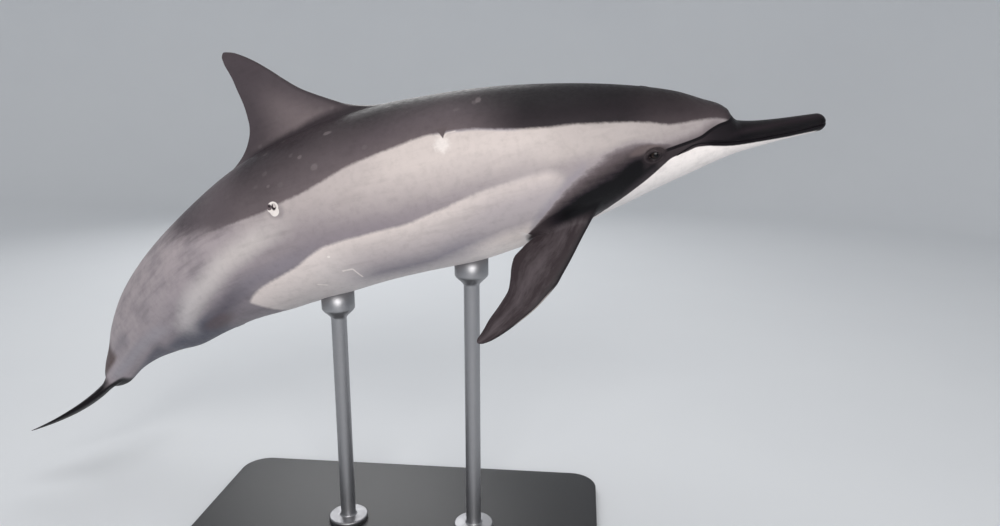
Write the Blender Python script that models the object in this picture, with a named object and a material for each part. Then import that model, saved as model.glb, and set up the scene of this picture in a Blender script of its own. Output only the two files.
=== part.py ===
"""Spinner dolphin, a life-size still model in a gliding turn, held on a display stand.

Run with: blender --background --python part.py

The body is described straight first, in "body coordinates": percent of the total length
back from the beak tip, then to the animal's left, then up. pose() bends that straight
body along a curved spine and puts it in the world, in metres: +X towards the beak,
+Y towards the animal's left, +Z up, origin at the middle of the stand's underside.
"""
import math

import bmesh
import bpy
import numpy as np

# ---- driving dimensions -------------------------------------------------------------
TOTAL_LENGTH = 1.90  # metres, beak tip to fluke notch
GAP = 0.0003  # metres, between neighbouring solids
UNIT = TOTAL_LENGTH / 100  # metres in one percent of the length
GAP_UNITS = GAP / UNIT

# Where the body's axis stands over the base, at this many percent of the length.
ANCHOR_STATION = 40.0
ANCHOR = (0.105, -0.018, 0.730)

# ---- pose: angles in degrees, stretches of the body in percent of the length ---------
NOSE_PITCH = 13.6  # the whole body points this far up
TAIL_DROP, TAIL_DROP_FROM, TAIL_DROP_TO = 30.0, 38.0, 97.0
TAIL_SWING, TAIL_SWING_FROM, TAIL_SWING_TO = -30.0, 40.0, 97.0
NECK_PITCH, NECK_YAW, NECK_FROM, NECK_TO = -3.0, 6.3, 31.0, 16.0
TAIL_TWIST, TWIST_FROM, TWIST_TO = 35.0, 60.0, 96.0
FLUKE_LIFT, FLUKE_SWING, FLUKE_FROM, FLUKE_TO = 13.0, -16.5, 90.0, 98.0

# ---- body sections, in percent of the length ------------------------------------------
# back from tip, top, bottom, half width, height of the widest place, fullness
BODY_SECTIONS = (
    (0.0, 0.85, -0.75, 0.85, 0.0, 2.2),
    (2.0, 0.95, -0.8, 1.1, 0.0, 2.2),
    (5.0, 1.1, -1.0, 1.5, 0.0, 2.2),
    (8.4, 1.65, -1.3, 2.1, 0.0, 2.2),
    (10.0, 3.3, -1.55, 2.8, 0.2, 2.2),
    (12.0, 4.5, -2.0, 3.6, 0.4, 2.2),
    (14.5, 5.65, -2.7, 4.4, 0.5, 2.2),
    (17.5, 6.65, -3.5, 5.1, 0.6, 2.15),
    (21.0, 7.6, -4.5, 5.9, 0.8, 2.1),
    (26.0, 8.75, -5.6, 6.8, 1.2, 2.05),
    (32.0, 9.85, -6.45, 7.5, 1.5, 2.05),
    (38.0, 10.5, -7.0, 7.9, 1.7, 2.05),
    (45.0, 10.8, -6.95, 8.0, 1.7, 2.0),
    (52.0, 10.3, -7.15, 7.7, 1.6, 1.95),
    (59.0, 9.3, -7.0, 6.9, 1.3, 1.9),
    (65.0, 8.1, -6.4, 5.9, 0.9, 1.85),
    (71.0, 7.05, -6.05, 4.8, 0.6, 1.8),
    (76.0, 6.15, -5.65, 3.8, 0.4, 1.75),
    (81.0, 5.15, -4.3, 2.9, 0.3, 1.7),
    (86.0, 3.8, -2.95, 2.0, 0.2, 1.65),
    (90.0, 2.55, -2.1, 1.4, 0.1, 1.6),
    (93.5, 1.75, -1.7, 1.1, 0.0, 1.6),
    (96.6, 1.2, -1.2, 0.9, 0.0, 1.6),
)
TIP_ROUNDING = 0.85  # the beak's tip is a dome this long
TIP_FLAT = 0.2  # share of the first section's size that is left at the very tip
MOUTH_BLEND = 8  # the side line leaves the mouth's level over this length behind the mouth
MOUTH_LEVEL = -0.2
MOUTH_END = 16.0  # corner of the mouth
BEAK_END = 8.6  # where the beak meets the melon
HEAD_END = 21.5
TRUNK_SPLIT = 45.5
TRUNK_END = 69.5
BODY_END = 96.6
ARC_STEPS = 6  # facets from the back to the side line, and as many below it

# ---- eyes ---------------------------------------------------------------------------
EYE_STATION, EYE_HEIGHT, EYE_SIDE = 18.1, 0.35, 4.42
EYEBALL_RADIUS = 0.0155

# ---- dorsal fin: height above the body's axis, leading edge, trailing edge -------------
DORSAL_SECTIONS = (
    (8.0, 43.0, 60.5),
    (9.6, 44.0, 59.0),
    (11.0, 45.4, 57.4),
    (12.1, 46.9, 56.8),
    (13.3, 48.6, 56.45),
    (14.6, 50.2, 56.25),
    (16.0, 51.4, 56.15),
    (17.4, 52.5, 56.1),
    (18.7, 53.6, 56.15),
    (19.7, 54.6, 56.15),
    (20.3, 55.3, 56.1),
)
DORSAL_THICKNESS = 0.105  # share of the chord, at the thickest place

# ---- flippers: distance out along the flipper, leading edge, trailing edge -------------
FLIPPER_SECTIONS = (
    (-1.6, 0.5, 4.4),
    (0.3, -0.2, 4.1),
    (2.3, -0.8, 3.5),
    (4.5, -1.5, 3.2),
    (6.3, -1.95, 3.4),
    (7.5, -2.15, 3.5),
    (8.7, -2.15, 2.9),
    (9.8, -2.1, 2.0),
    (10.9, -1.95, 1.15),
    (12.5, -1.65, 0.95),
    (14.0, -1.3, 0.75),
    (15.3, -0.8, 0.45),
    (16.1, -0.25, 0.2),
)
FLIPPER_THICKNESS = 0.15
# root place and the directions out along and across each flipper, in body coordinates
FLIPPER_ROOT = (24.7, 4.2, -4.4)
RIGHT_FLIPPER_OUT, RIGHT_FLIPPER_ACROSS = (0.79, 0.313, -0.526), (0.597, -0.586, 0.548)
LEFT_FLIPPER_OUT, LEFT_FLIPPER_ACROSS = (0.74, 0.60, -0.30), (0.60, -0.78, -0.10)

# ---- flukes: distance from the middle, leading edge, trailing edge ----------------------
FLUKE_SECTIONS = (
    (0.0, 93.6, 98.9),
    (0.5, 93.8, 99.7),
    (1.3, 94.3, 100.3),
    (2.6, 95.0, 100.7),
    (4.2, 95.9, 100.8),
    (5.8, 97.0, 100.8),
    (7.2, 98.2, 100.95),
    (8.4, 99.4, 101.2),
    (9.3, 100.5, 101.5),
    (9.8, 101.2, 101.75),
)
FLUKE_THICKNESS = 0.14
FLUKE_DROOP, FLUKE_CURL = 0.10, 0.038  # they fall with the distance out and rise with its square

# ---- stand, in metres ------------------------------------------------------------------
BASE_LENGTH, BASE_WIDTH, BASE_THICKNESS = 0.88, 0.48, 0.018
BASE_CORNER, BASE_BEVEL = 0.06, 0.004
CORNER_STEPS = 8
ROD_RADIUS, FOOT_RADIUS, FOOT_HEIGHT = 0.016, 0.042, 0.010
FOOT_CHAMFER = 0.003
FILLET = 0.004  # where the stem meets its foot and its saddle
SADDLE_RADIUS = 0.034
SADDLE_HEIGHT = 0.050  # from the bottom of the saddle to the belly's lowest line
SADDLE_FLARE = 0.024  # the saddle widens over this height
SADDLE_BURY = 0.035  # it runs this far into the body before it is cut to the belly's shape
ROD_SIDES = 24
ROD_STATIONS = {"stand_rod_front": 38.0, "stand_rod_rear": 54.0}


# ---- small helpers -----------------------------------------------------------------------
def ease(x):
    """0 below 0, 1 above 1, and a smooth rise between."""
    x = np.clip(x, 0.0, 1.0)
    return x * x * (3 - 2 * x)


def smooth_curve(xs, ys):
    """A function through the points that never overshoots them (monotone cubic)."""
    xs, ys = np.array(xs, float), np.array(ys, float)
    step = np.diff(xs)
    rise = np.diff(ys) / step
    slope = np.zeros(len(xs))
    slope[0], slope[-1] = rise[0], rise[-1]
    for i in range(1, len(xs) - 1):
        if rise[i - 1] * rise[i] > 0:
            before, after = 2 * step[i] + step[i - 1], step[i] + 2 * step[i - 1]
            slope[i] = (before + after) / (before / rise[i - 1] + after / rise[i])

    def curve(x):
        x = np.clip(x, xs[0], xs[-1])
        i = np.clip(np.searchsorted(xs, x) - 1, 0, len(xs) - 2)
        t = (x - xs[i]) / step[i]
        start = (1 + 2 * t) * (1 - t) ** 2 * ys[i] + t * (1 - t) ** 2 * step[i] * slope[i]
        end = t * t * (3 - 2 * t) * ys[i + 1] + t * t * (t - 1) * step[i] * slope[i + 1]
        return start + end

    return curve


def columns(table):
    """One smooth curve for each column after the first, which is their common x."""
    xs = [row[0] for row in table]
    return [smooth_curve(xs, [row[i] for row in table]) for i in range(1, len(table[0]))]


# ---- the spine, and bending the straight body along it -------------------------------------
def make_spine():
    """Stations along the body with the place, forward, left and up of each."""
    s = np.linspace(0.0, 105.0, 421)
    neck = ease((NECK_FROM - s) / (NECK_FROM - NECK_TO))
    drop = ease((s - TAIL_DROP_FROM) / (TAIL_DROP_TO - TAIL_DROP_FROM))
    swing = ease((s - TAIL_SWING_FROM) / (TAIL_SWING_TO - TAIL_SWING_FROM))
    fluke = ease((s - FLUKE_FROM) / (FLUKE_TO - FLUKE_FROM))
    twist = ease((s - TWIST_FROM) / (TWIST_TO - TWIST_FROM))
    pitch = np.radians(NOSE_PITCH + NECK_PITCH * neck + TAIL_DROP * drop - FLUKE_LIFT * fluke)
    yaw = np.radians(NECK_YAW * neck + TAIL_SWING * swing + FLUKE_SWING * fluke)
    roll = np.radians(TAIL_TWIST * twist)[:, None]
    forward = np.stack(
        [np.cos(pitch) * np.cos(yaw), np.cos(pitch) * np.sin(yaw), np.sin(pitch)], axis=1
    )
    level_left = np.stack([-np.sin(yaw), np.cos(yaw), np.zeros_like(yaw)], axis=1)
    level_up = np.cross(forward, level_left)
    left = np.cos(roll) * level_left + np.sin(roll) * level_up
    up = np.cos(roll) * level_up - np.sin(roll) * level_left
    steps = -0.5 * (forward[1:] + forward[:-1]) * np.diff(s)[:, None] * UNIT
    place = np.concatenate([np.zeros((1, 3)), np.cumsum(steps, axis=0)])
    anchor = [np.interp(ANCHOR_STATION, s, place[:, axis]) for axis in range(3)]
    return s, place - anchor + ANCHOR, forward, left, up


SPINE = make_spine()


def along_spine(values, stations):
    return np.stack([np.interp(stations, SPINE[0], values[:, axis]) for axis in range(3)], axis=1)


def pose(points):
    """World places of points given in body coordinates (back, left, up)."""
    points = np.atleast_2d(np.array(points, float))
    place, left, up = (along_spine(SPINE[i], points[:, 0]) for i in (1, 3, 4))
    return place + (left * points[:, 1:2] + up * points[:, 2:3]) * UNIT


# ---- body sections ----------------------------------------------------------------------------
TOP, BOTTOM, HALF_WIDTH, WIDEST, FULLNESS = columns(BODY_SECTIONS)


def side_angle(station):
    """Section angle of the side line: the mouth's level in front, the widest place behind."""
    behind = ease((station - MOUTH_END) / MOUTH_BLEND)
    level = MOUTH_LEVEL * (1 - behind) + WIDEST(station) * behind
    below = (WIDEST(station) - level) / (WIDEST(station) - BOTTOM(station))
    return math.pi / 2 + math.asin(max(below, 0.0) ** (FULLNESS(station) / 2))


def section_point(station, angle, grow):
    """A point of the section: angle 0 is the back, pi the belly, positive the left side."""
    c, s = math.cos(angle), math.sin(angle)
    power = 2 / FULLNESS(station)
    dome = math.sqrt(max(1 - max(1 - station / TIP_ROUNDING, 0.0) ** 2, TIP_FLAT**2))
    reach = TOP(station) - WIDEST(station) if c > 0 else WIDEST(station) - BOTTOM(station)
    height = (reach * dome + grow) * math.copysign(abs(c) ** power, c)
    side = (HALF_WIDTH(station) * dome + grow) * math.copysign(abs(s) ** power, s)
    return (station, side, WIDEST(station) + height)


def upper_arc(station, grow=0.0, lift=0.0):
    """Points from the left side line over the back to the right one."""
    edge = side_angle(station)
    arc = [section_point(station, edge * i / ARC_STEPS, grow)
           for i in range(ARC_STEPS, -ARC_STEPS - 1, -1)]
    for end in (0, -1):
        arc[end] = (arc[end][0], arc[end][1], arc[end][2] + lift)
    return arc


def lower_arc(station, grow=0.0, lift=0.0):
    """Points from the right side line under the belly to the left one."""
    edge = side_angle(station)
    step = (math.pi - edge) / ARC_STEPS
    right = [section_point(station, -edge - step * i, grow) for i in range(ARC_STEPS + 1)]
    left = [section_point(station, edge + step * i, grow) for i in range(ARC_STEPS - 1, -1, -1)]
    arc = right + left
    for end in (0, -1):
        arc[end] = (arc[end][0], arc[end][1], arc[end][2] + lift)
    return arc


def whole_ring(station, grow=0.0):
    return upper_arc(station, grow) + lower_arc(station, grow)[1:-1]


def stations_between(start, end):
    """Ring places from start to end, close together where the shape turns quickly.

    The places of the thin cuts are among them, so that a piece and the whole body agree.
    """
    beak = [0.12, 0.35, 0.7, 1.3, 2.5, 4.0, 5.5, 7.0, 8.0]
    head = [9.2, 9.8, 10.6, 11.6, 12.8, 14.2, 17.0, 18.8, 20.2]
    trunk_and_tail = list(np.arange(23.9, 93.0, 2.4)) + [93.5, 95.2]
    wanted = beak + head + trunk_and_tail
    for cut in (BEAK_END, MOUTH_END, HEAD_END, TRUNK_SPLIT, TRUNK_END):
        wanted += [cut - GAP_UNITS / 2, cut + GAP_UNITS / 2]
    margin = 2 * GAP_UNITS
    return [start] + [s for s in sorted(wanted) if start + margin < s < end - margin] + [end]


# ---- mesh building -------------------------------------------------------------------------------
def loft_faces(rings, count, first=0):
    """Side faces between neighbouring rings of count points each, numbered from first."""
    faces = []
    for r in range(rings - 1):
        for k in range(count):
            a, b = first + r * count + k, first + r * count + (k + 1) % count
            faces.append((a, b, b + count, a + count))
    return faces


def loft(rings):
    """Points and faces of a closed loft through rings of equal length, with flat ends."""
    count = len(rings[0])
    points = [point for ring in rings for point in ring]
    faces = loft_faces(len(rings), count)
    faces.append(tuple(range(count))[::-1])
    faces.append(tuple(range((len(rings) - 1) * count, len(rings) * count)))
    return points, faces


def loft_fin(rings):
    """As loft, for rings that run out along one side of a foil and back along the other."""
    count = len(rings[0])
    points = [point for ring in rings for point in ring]
    faces = loft_faces(len(rings), count)
    last = (len(rings) - 1) * count
    for i in range(count // 2 - 1):
        faces.append((i, i + 1, count - 2 - i, count - 1 - i))
        faces.append((last + i, last + i + 1, last + count - 2 - i, last + count - 1 - i))
    return points, faces


def add_object(name, points, faces, material, hidden=False):
    """A mesh object from points in metres. Its faces are turned to point outwards."""
    mesh = bpy.data.meshes.new(name)
    mesh.from_pydata([tuple(p) for p in points], [], faces)
    work = bmesh.new()
    work.from_mesh(mesh)
    bmesh.ops.recalc_face_normals(work, faces=work.faces)
    if work.calc_volume(signed=True) < 0:
        bmesh.ops.reverse_faces(work, faces=work.faces)
    work.to_mesh(mesh)
    work.free()
    mesh.shade_smooth()
    mesh.set_sharp_from_angle(angle=math.radians(40))
    mesh.materials.append(material)
    obj = bpy.data.objects.new(name, mesh)
    bpy.context.scene.collection.objects.link(obj)
    if hidden:
        obj.hide_render = True
        obj.display_type = "WIRE"
    return obj


def cut_by(obj, cutter):
    """Takes the cutter's volume away from the object."""
    cut = obj.modifiers.new("cut_by_" + cutter.name, "BOOLEAN")
    cut.operation = "DIFFERENCE"
    cut.solver = "EXACT"
    cut.object = cutter


def make_material(name, colour, roughness, metallic=0.0):
    material = bpy.data.materials.new(name)
    material.use_nodes = True
    shader = material.node_tree.nodes["Principled BSDF"]
    shader.inputs["Base Color"].default_value = (*colour, 1.0)
    shader.inputs["Roughness"].default_value = roughness
    shader.inputs["Metallic"].default_value = metallic
    material.diffuse_color = (*colour, 1.0)
    return material


# ---- the body's pieces --------------------------------------------------------------------------
def add_half_beak(name, arc, end, lift, material):
    """A piece on one side of the mouth, closed by the mouth's flat."""
    rings = [arc(station, lift=lift) for station in stations_between(0.0, end - GAP_UNITS / 2)]
    points, faces = loft(rings)
    return add_object(name, pose(points), faces, material)


def add_head(material):
    """The upper half alone down to the corner of the mouth, then whole rings behind it."""
    front = BEAK_END + GAP_UNITS / 2
    upper = [upper_arc(s, lift=GAP_UNITS / 2) for s in stations_between(front, MOUTH_END)]
    whole = [whole_ring(s) for s in stations_between(MOUTH_END, HEAD_END - GAP_UNITS / 2)]
    arc_count, ring_count = len(upper[0]), len(whole[0])
    points = [p for ring in upper[:-1] for p in ring] + [p for ring in whole for p in ring]
    join = (len(upper) - 1) * arc_count
    points[join] = upper[-1][0]
    points[join + arc_count - 1] = upper[-1][-1]
    faces = loft_faces(len(upper), arc_count)
    faces += loft_faces(len(whole), ring_count, join)
    faces.append(tuple(range(arc_count))[::-1])
    corner = [join + i for i in range(arc_count - 1, ring_count)] + [join]
    faces.append(tuple(corner))
    faces.append(tuple(range(len(points) - ring_count, len(points))))
    return add_object("head", pose(points), faces, material)


def add_body_length(name, start, end, material):
    rings = [whole_ring(s) for s in stations_between(start + GAP_UNITS / 2, end - GAP_UNITS / 2)]
    points, faces = loft(rings)
    return add_object(name, pose(points), faces, material)


def add_body_cutter(material):
    """The whole body grown by the gap. It trims what grows out of the body or holds it."""
    rings = [whole_ring(s, grow=GAP_UNITS) for s in stations_between(0.0, BODY_END + GAP_UNITS)]
    points, faces = loft(rings)
    return add_object("body_cutter", pose(points), faces, material, hidden=True)


# ---- fins: a foil section swept between a leading and a trailing edge ------------------------------
FOIL_STATIONS = (0.0, 0.02, 0.08, 0.2, 0.4, 0.65, 0.88, 1.0)
FOIL_ROOT = 2.97  # the usual foil's polynomial: this times the root of the place along the chord,
FOIL_POWERS = (-1.26, -3.516, 2.843, -1.037)  # and these times its powers from the first up
EDGE_THICKNESS = 0.0012  # metres, half of it on each side of the trailing edge
EXTRA_FIN_RINGS = 4  # more than a fin has sections
TIP_CROWDING = 0.9  # below 1 the rings lie a little closer together at the tip
TIP_POWER, TIP_THINNEST = 6, 0.35  # how late a fin thins towards its tip, and how far


def foil_outline(leading, trailing, thickness):
    """(chordwise place, half thickness) once round the section, from the leading edge."""
    chord = trailing - leading
    outline = []
    for share in FOIL_STATIONS:
        bulge = FOIL_ROOT * math.sqrt(share)
        bulge += sum(factor * share ** (i + 1) for i, factor in enumerate(FOIL_POWERS))
        half = 0.5 * thickness * chord * bulge + 0.5 * EDGE_THICKNESS / UNIT
        outline.append((leading + share * chord, half))
    return outline + [(place, -half) for place, half in outline[::-1]]


def add_fin(name, sections, thickness, to_body, material):
    """A fin whose sections to_body(out, across, thick) turns into body coordinates."""
    leading, trailing = columns(sections)
    first, last = sections[0][0], sections[-1][0]
    count = len(sections) + EXTRA_FIN_RINGS
    rings = []
    for i in range(count):
        share = i / (count - 1)
        out = first + (last - first) * math.sin(share * math.pi / 2) ** TIP_CROWDING
        taper = math.sqrt(max(1 - share**TIP_POWER, TIP_THINNEST**2))
        outline = foil_outline(float(leading(out)), float(trailing(out)), thickness * taper)
        rings.append([to_body(out, across, thick) for across, thick in outline])
    points, faces = loft_fin(rings)
    return add_object(name, pose(points), faces, material)


def flipper_frame(side, out_direction, across_direction):
    """Maps a flipper's own coordinates to the body's. side is +1 on the left, -1 on the right."""
    root = np.array(FLIPPER_ROOT) * (1, side, 1)
    out_axis = np.array(out_direction) * (1, side, 1)
    out_axis = out_axis / np.linalg.norm(out_axis)
    across_axis = np.array(across_direction) * (1, side, 1)
    across_axis = across_axis - out_axis * (across_axis @ out_axis)
    across_axis = across_axis / np.linalg.norm(across_axis)
    thick_axis = np.cross(out_axis, across_axis)

    def to_body(out, across, thick):
        return tuple(root + out_axis * out + across_axis * across + thick_axis * thick)

    return to_body


def fluke_frame(side):
    middle_gap = GAP_UNITS / 2

    def to_body(out, across, thick):
        return (across, side * (out + middle_gap), thick + (FLUKE_CURL * out - FLUKE_DROOP) * out)

    return to_body


# ---- the stand ----------------------------------------------------------------------------------------
def add_base(material):
    """A flat plate with rounded corners and a bevelled edge."""
    outline = []
    for quarter, (sx, sy) in enumerate(((1, 1), (-1, 1), (-1, -1), (1, -1))):
        centre_x = sx * (BASE_LENGTH / 2 - BASE_CORNER)
        centre_y = sy * (BASE_WIDTH / 2 - BASE_CORNER)
        for i in range(CORNER_STEPS + 1):
            turn = math.pi / 2 * (quarter + i / CORNER_STEPS)
            x = centre_x + BASE_CORNER * math.cos(turn)
            y = centre_y + BASE_CORNER * math.sin(turn)
            outline.append((x, y))
    rings = [[(x, y, z) for x, y in outline] for z in (0.0, BASE_THICKNESS)]
    points, faces = loft(rings)
    base = add_object("stand_base", points, faces, material)
    bevel = base.modifiers.new("edge", "BEVEL")
    bevel.width = BASE_BEVEL
    bevel.segments = 2
    bevel.limit_method = "ANGLE"
    bevel.angle_limit = math.radians(60)
    return base


def add_rod(name, station, body_cutter, material):
    """A turned rod: a round foot on the base, a straight stem, and a saddle under the belly."""
    belly = pose([(station, 0.0, float(BOTTOM(station)))])[0]
    bottom = BASE_THICKNESS + GAP
    saddle = belly[2] - SADDLE_HEIGHT
    profile = (
        (bottom, FOOT_RADIUS),
        (bottom + FOOT_HEIGHT - FOOT_CHAMFER, FOOT_RADIUS),
        (bottom + FOOT_HEIGHT, FOOT_RADIUS - FOOT_CHAMFER),
        (bottom + FOOT_HEIGHT, ROD_RADIUS + FILLET),
        (bottom + FOOT_HEIGHT + FILLET, ROD_RADIUS),
        (saddle, ROD_RADIUS),
        (saddle + SADDLE_FLARE / 2, ROD_RADIUS + FILLET),
        (saddle + SADDLE_FLARE, SADDLE_RADIUS - FILLET),
        (saddle + SADDLE_FLARE + FILLET, SADDLE_RADIUS),
        (belly[2] + SADDLE_BURY, SADDLE_RADIUS),
    )
    turns = [2 * math.pi * i / ROD_SIDES for i in range(ROD_SIDES)]
    circle = [(math.cos(turn), math.sin(turn)) for turn in turns]
    rings = [[(belly[0] + r * x, belly[1] + r * y, z) for x, y in circle] for z, r in profile]
    points, faces = loft(rings)
    rod = add_object(name, points, faces, material)
    cut_by(rod, body_cutter)
    return rod


# ---- everything together ---------------------------------------------------------------------------------
def clear_scene():
    for obj in list(bpy.data.objects):
        bpy.data.objects.remove(obj, do_unlink=True)


def add_eyes(head, skin, eye_material):
    """An eyeball deep in a socket on each side, so that only its front shows."""
    for name, side in (("eye_left", 1), ("eye_right", -1)):
        centre = pose([(EYE_STATION, side * EYE_SIDE, EYE_HEIGHT)])[0]
        for kind, radius in (("ball", EYEBALL_RADIUS), ("socket", EYEBALL_RADIUS + GAP)):
            work = bmesh.new()
            bmesh.ops.create_icosphere(work, subdivisions=3, radius=radius)
            points = [vertex.co.xyz + type(vertex.co)(centre) for vertex in work.verts]
            faces = [tuple(vertex.index for vertex in face.verts) for face in work.faces]
            work.free()
            if kind == "ball":
                add_object(name, points, faces, eye_material)
            else:
                cut_by(head, add_object(name + "_socket", points, faces, skin, hidden=True))


def main():
    clear_scene()
    bpy.context.scene.unit_settings.scale_length = 1.0
    skin = make_material("skin", (0.42, 0.39, 0.39), 0.35)
    dark_skin = make_material("dark_skin", (0.07, 0.06, 0.065), 0.35)
    eye_material = make_material("eye", (0.012, 0.010, 0.010), 0.08)
    base_material = make_material("stand_base", (0.03, 0.03, 0.032), 0.45)
    rod_material = make_material("stand_rod", (0.55, 0.55, 0.56), 0.3, 1.0)

    cutter = add_body_cutter(skin)
    add_half_beak("upper_beak", upper_arc, BEAK_END, GAP_UNITS / 2, dark_skin)
    add_half_beak("lower_jaw", lower_arc, MOUTH_END, -GAP_UNITS / 2, skin)
    head = add_head(skin)
    add_body_length("trunk_front", HEAD_END, TRUNK_SPLIT, skin)
    add_body_length("trunk_rear", TRUNK_SPLIT, TRUNK_END, skin)
    add_body_length("tail_stock", TRUNK_END, BODY_END, skin)
    add_eyes(head, skin, eye_material)

    fins = [
        add_fin("dorsal_fin", DORSAL_SECTIONS, DORSAL_THICKNESS,
                lambda out, across, thick: (across, thick, out), dark_skin),
        add_fin("flipper_right", FLIPPER_SECTIONS, FLIPPER_THICKNESS,
                flipper_frame(-1, RIGHT_FLIPPER_OUT, RIGHT_FLIPPER_ACROSS), dark_skin),
        add_fin("flipper_left", FLIPPER_SECTIONS, FLIPPER_THICKNESS,
                flipper_frame(1, LEFT_FLIPPER_OUT, LEFT_FLIPPER_ACROSS), dark_skin),
        add_fin("fluke_right", FLUKE_SECTIONS, FLUKE_THICKNESS, fluke_frame(-1), dark_skin),
        add_fin("fluke_left", FLUKE_SECTIONS, FLUKE_THICKNESS, fluke_frame(1), dark_skin),
    ]
    for fin in fins:
        cut_by(fin, cutter)

    add_base(base_material)
    for name, station in ROD_STATIONS.items():
        add_rod(name, station, cutter, rod_material)


main()
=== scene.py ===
"""Looks of the spinner dolphin: one skin with its fins, eyes, a stand, floor, lights and camera.

The body is described straight first, in "body coordinates": percent of the total length back
from the beak tip, then to the animal's left, then up. pose() bends that straight body along a
curved spine and puts it in the frame, in metres. Lengths are in those percents, unless a
comment says metres. A side is -1 for the animal's right and 1 for its left.
"""
import math

import bmesh
import bpy
import numpy as np
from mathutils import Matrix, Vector


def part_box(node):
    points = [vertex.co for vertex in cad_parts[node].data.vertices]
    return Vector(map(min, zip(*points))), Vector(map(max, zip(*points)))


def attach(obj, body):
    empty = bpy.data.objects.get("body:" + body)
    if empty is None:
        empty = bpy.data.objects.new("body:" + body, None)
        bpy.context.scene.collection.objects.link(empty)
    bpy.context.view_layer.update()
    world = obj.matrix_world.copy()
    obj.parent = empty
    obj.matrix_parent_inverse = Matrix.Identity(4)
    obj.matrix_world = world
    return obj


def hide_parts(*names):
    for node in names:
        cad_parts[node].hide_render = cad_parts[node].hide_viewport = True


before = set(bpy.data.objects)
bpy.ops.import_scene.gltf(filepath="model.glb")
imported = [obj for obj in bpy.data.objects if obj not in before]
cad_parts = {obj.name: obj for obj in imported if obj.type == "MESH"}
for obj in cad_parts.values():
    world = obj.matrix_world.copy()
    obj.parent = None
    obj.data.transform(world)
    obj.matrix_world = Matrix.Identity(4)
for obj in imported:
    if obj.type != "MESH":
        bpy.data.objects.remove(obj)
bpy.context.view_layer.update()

# ---- driving dimensions, the same as the frame's ----
TOTAL_LENGTH = 1.90  # metres, from the beak tip to the notch of the flukes along the spine
UNIT = TOTAL_LENGTH / 100
ANCHOR_STATION = 40.0  # this station of the spine lies at ANCHOR, in metres
ANCHOR = np.array((0.105, -0.018, 0.730))

# bends of the spine in degrees, each growing smoothly between two stations
NOSE_PITCH = 13.6
TAIL_DROP, TAIL_DROP_FROM, TAIL_DROP_TO = 30.0, 38.0, 97.0
TAIL_SWING, TAIL_SWING_FROM, TAIL_SWING_TO = -30.0, 40.0, 97.0
NECK_PITCH, NECK_YAW, NECK_FROM, NECK_TO = -3.0, 6.3, 31.0, 16.0
TAIL_TWIST, TWIST_FROM, TWIST_TO = 35.0, 60.0, 96.0
FLUKE_LIFT, FLUKE_SWING, FLUKE_FROM, FLUKE_TO = 13.0, -16.5, 90.0, 98.0

# back from tip, top, bottom, half width, height of the widest place, fullness
BODY_SECTIONS = (
    (0.0, 0.85, -0.82, 0.85, 0.0, 2.2),
    (2.0, 0.95, -0.9, 1.1, 0.0, 2.2),
    (5.0, 1.12, -1.05, 1.5, 0.0, 2.2),
    (8.8, 1.7, -1.38, 2.18, 0.02, 2.2),
    (9.3, 2.1, -1.44, 2.38, 0.07, 2.2),
    (9.75, 2.88, -1.5, 2.62, 0.14, 2.2),
    (10.2, 3.46, -1.57, 2.86, 0.22, 2.2),
    (12.0, 4.42, -1.95, 3.6, 0.4, 2.2),
    (14.5, 5.65, -2.58, 4.4, 0.5, 2.2),
    (17.5, 6.65, -3.36, 5.1, 0.6, 2.15),
    (21.0, 7.6, -4.36, 5.9, 0.8, 2.1),
    (26.0, 8.75, -5.55, 6.8, 1.2, 2.05),
    (32.0, 9.87, -6.53, 7.5, 1.5, 2.05),
    (38.0, 10.52, -7.07, 7.9, 1.7, 2.05),
    (45.0, 10.83, -6.98, 8.0, 1.7, 2.0),
    (52.0, 10.35, -7.15, 7.7, 1.6, 1.95),
    (59.0, 9.42, -7.0, 6.9, 1.3, 1.9),
    (65.0, 8.15, -6.4, 5.9, 0.9, 1.85),
    (71.0, 6.98, -6.05, 4.8, 0.6, 1.8),
    (76.0, 6.08, -5.65, 3.8, 0.4, 1.75),
    (81.0, 5.05, -4.3, 2.9, 0.3, 1.7),
    (86.0, 3.7, -2.95, 2.0, 0.2, 1.65),
    (90.0, 2.5, -2.2, 1.4, 0.1, 1.6),
    (93.5, 1.85, -1.92, 1.1, 0.0, 1.6),
    (95.2, 1.5, -1.55, 0.98, 0.0, 1.7),
    (96.8, 1.0, -1.0, 0.82, 0.0, 1.8),
    (98.0, 0.58, -0.58, 0.62, 0.0, 2.0),
    (98.8, 0.34, -0.34, 0.30, 0.0, 2.0),
)
TIP_START, TIP_ROUNDING = 0.16, 0.85  # where the beak's tip begins, and over what length it is rounded
BODY_END = 98.8  # the notch between the flukes

# height of the line between the jaws, and where it ends
MOUTH_LINE = ((0.0, -0.2), (4.0, -0.38), (8.0, -0.3), (10.5, 0.02), (12.5, 0.38), (13.7, 0.56),
              (14.4, 0.52), (15.0, 0.34), (15.9, 0.02), (16.2, -0.08))
MOUTH_END = 16.1
MOUTH_BLEND = 8.0

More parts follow.
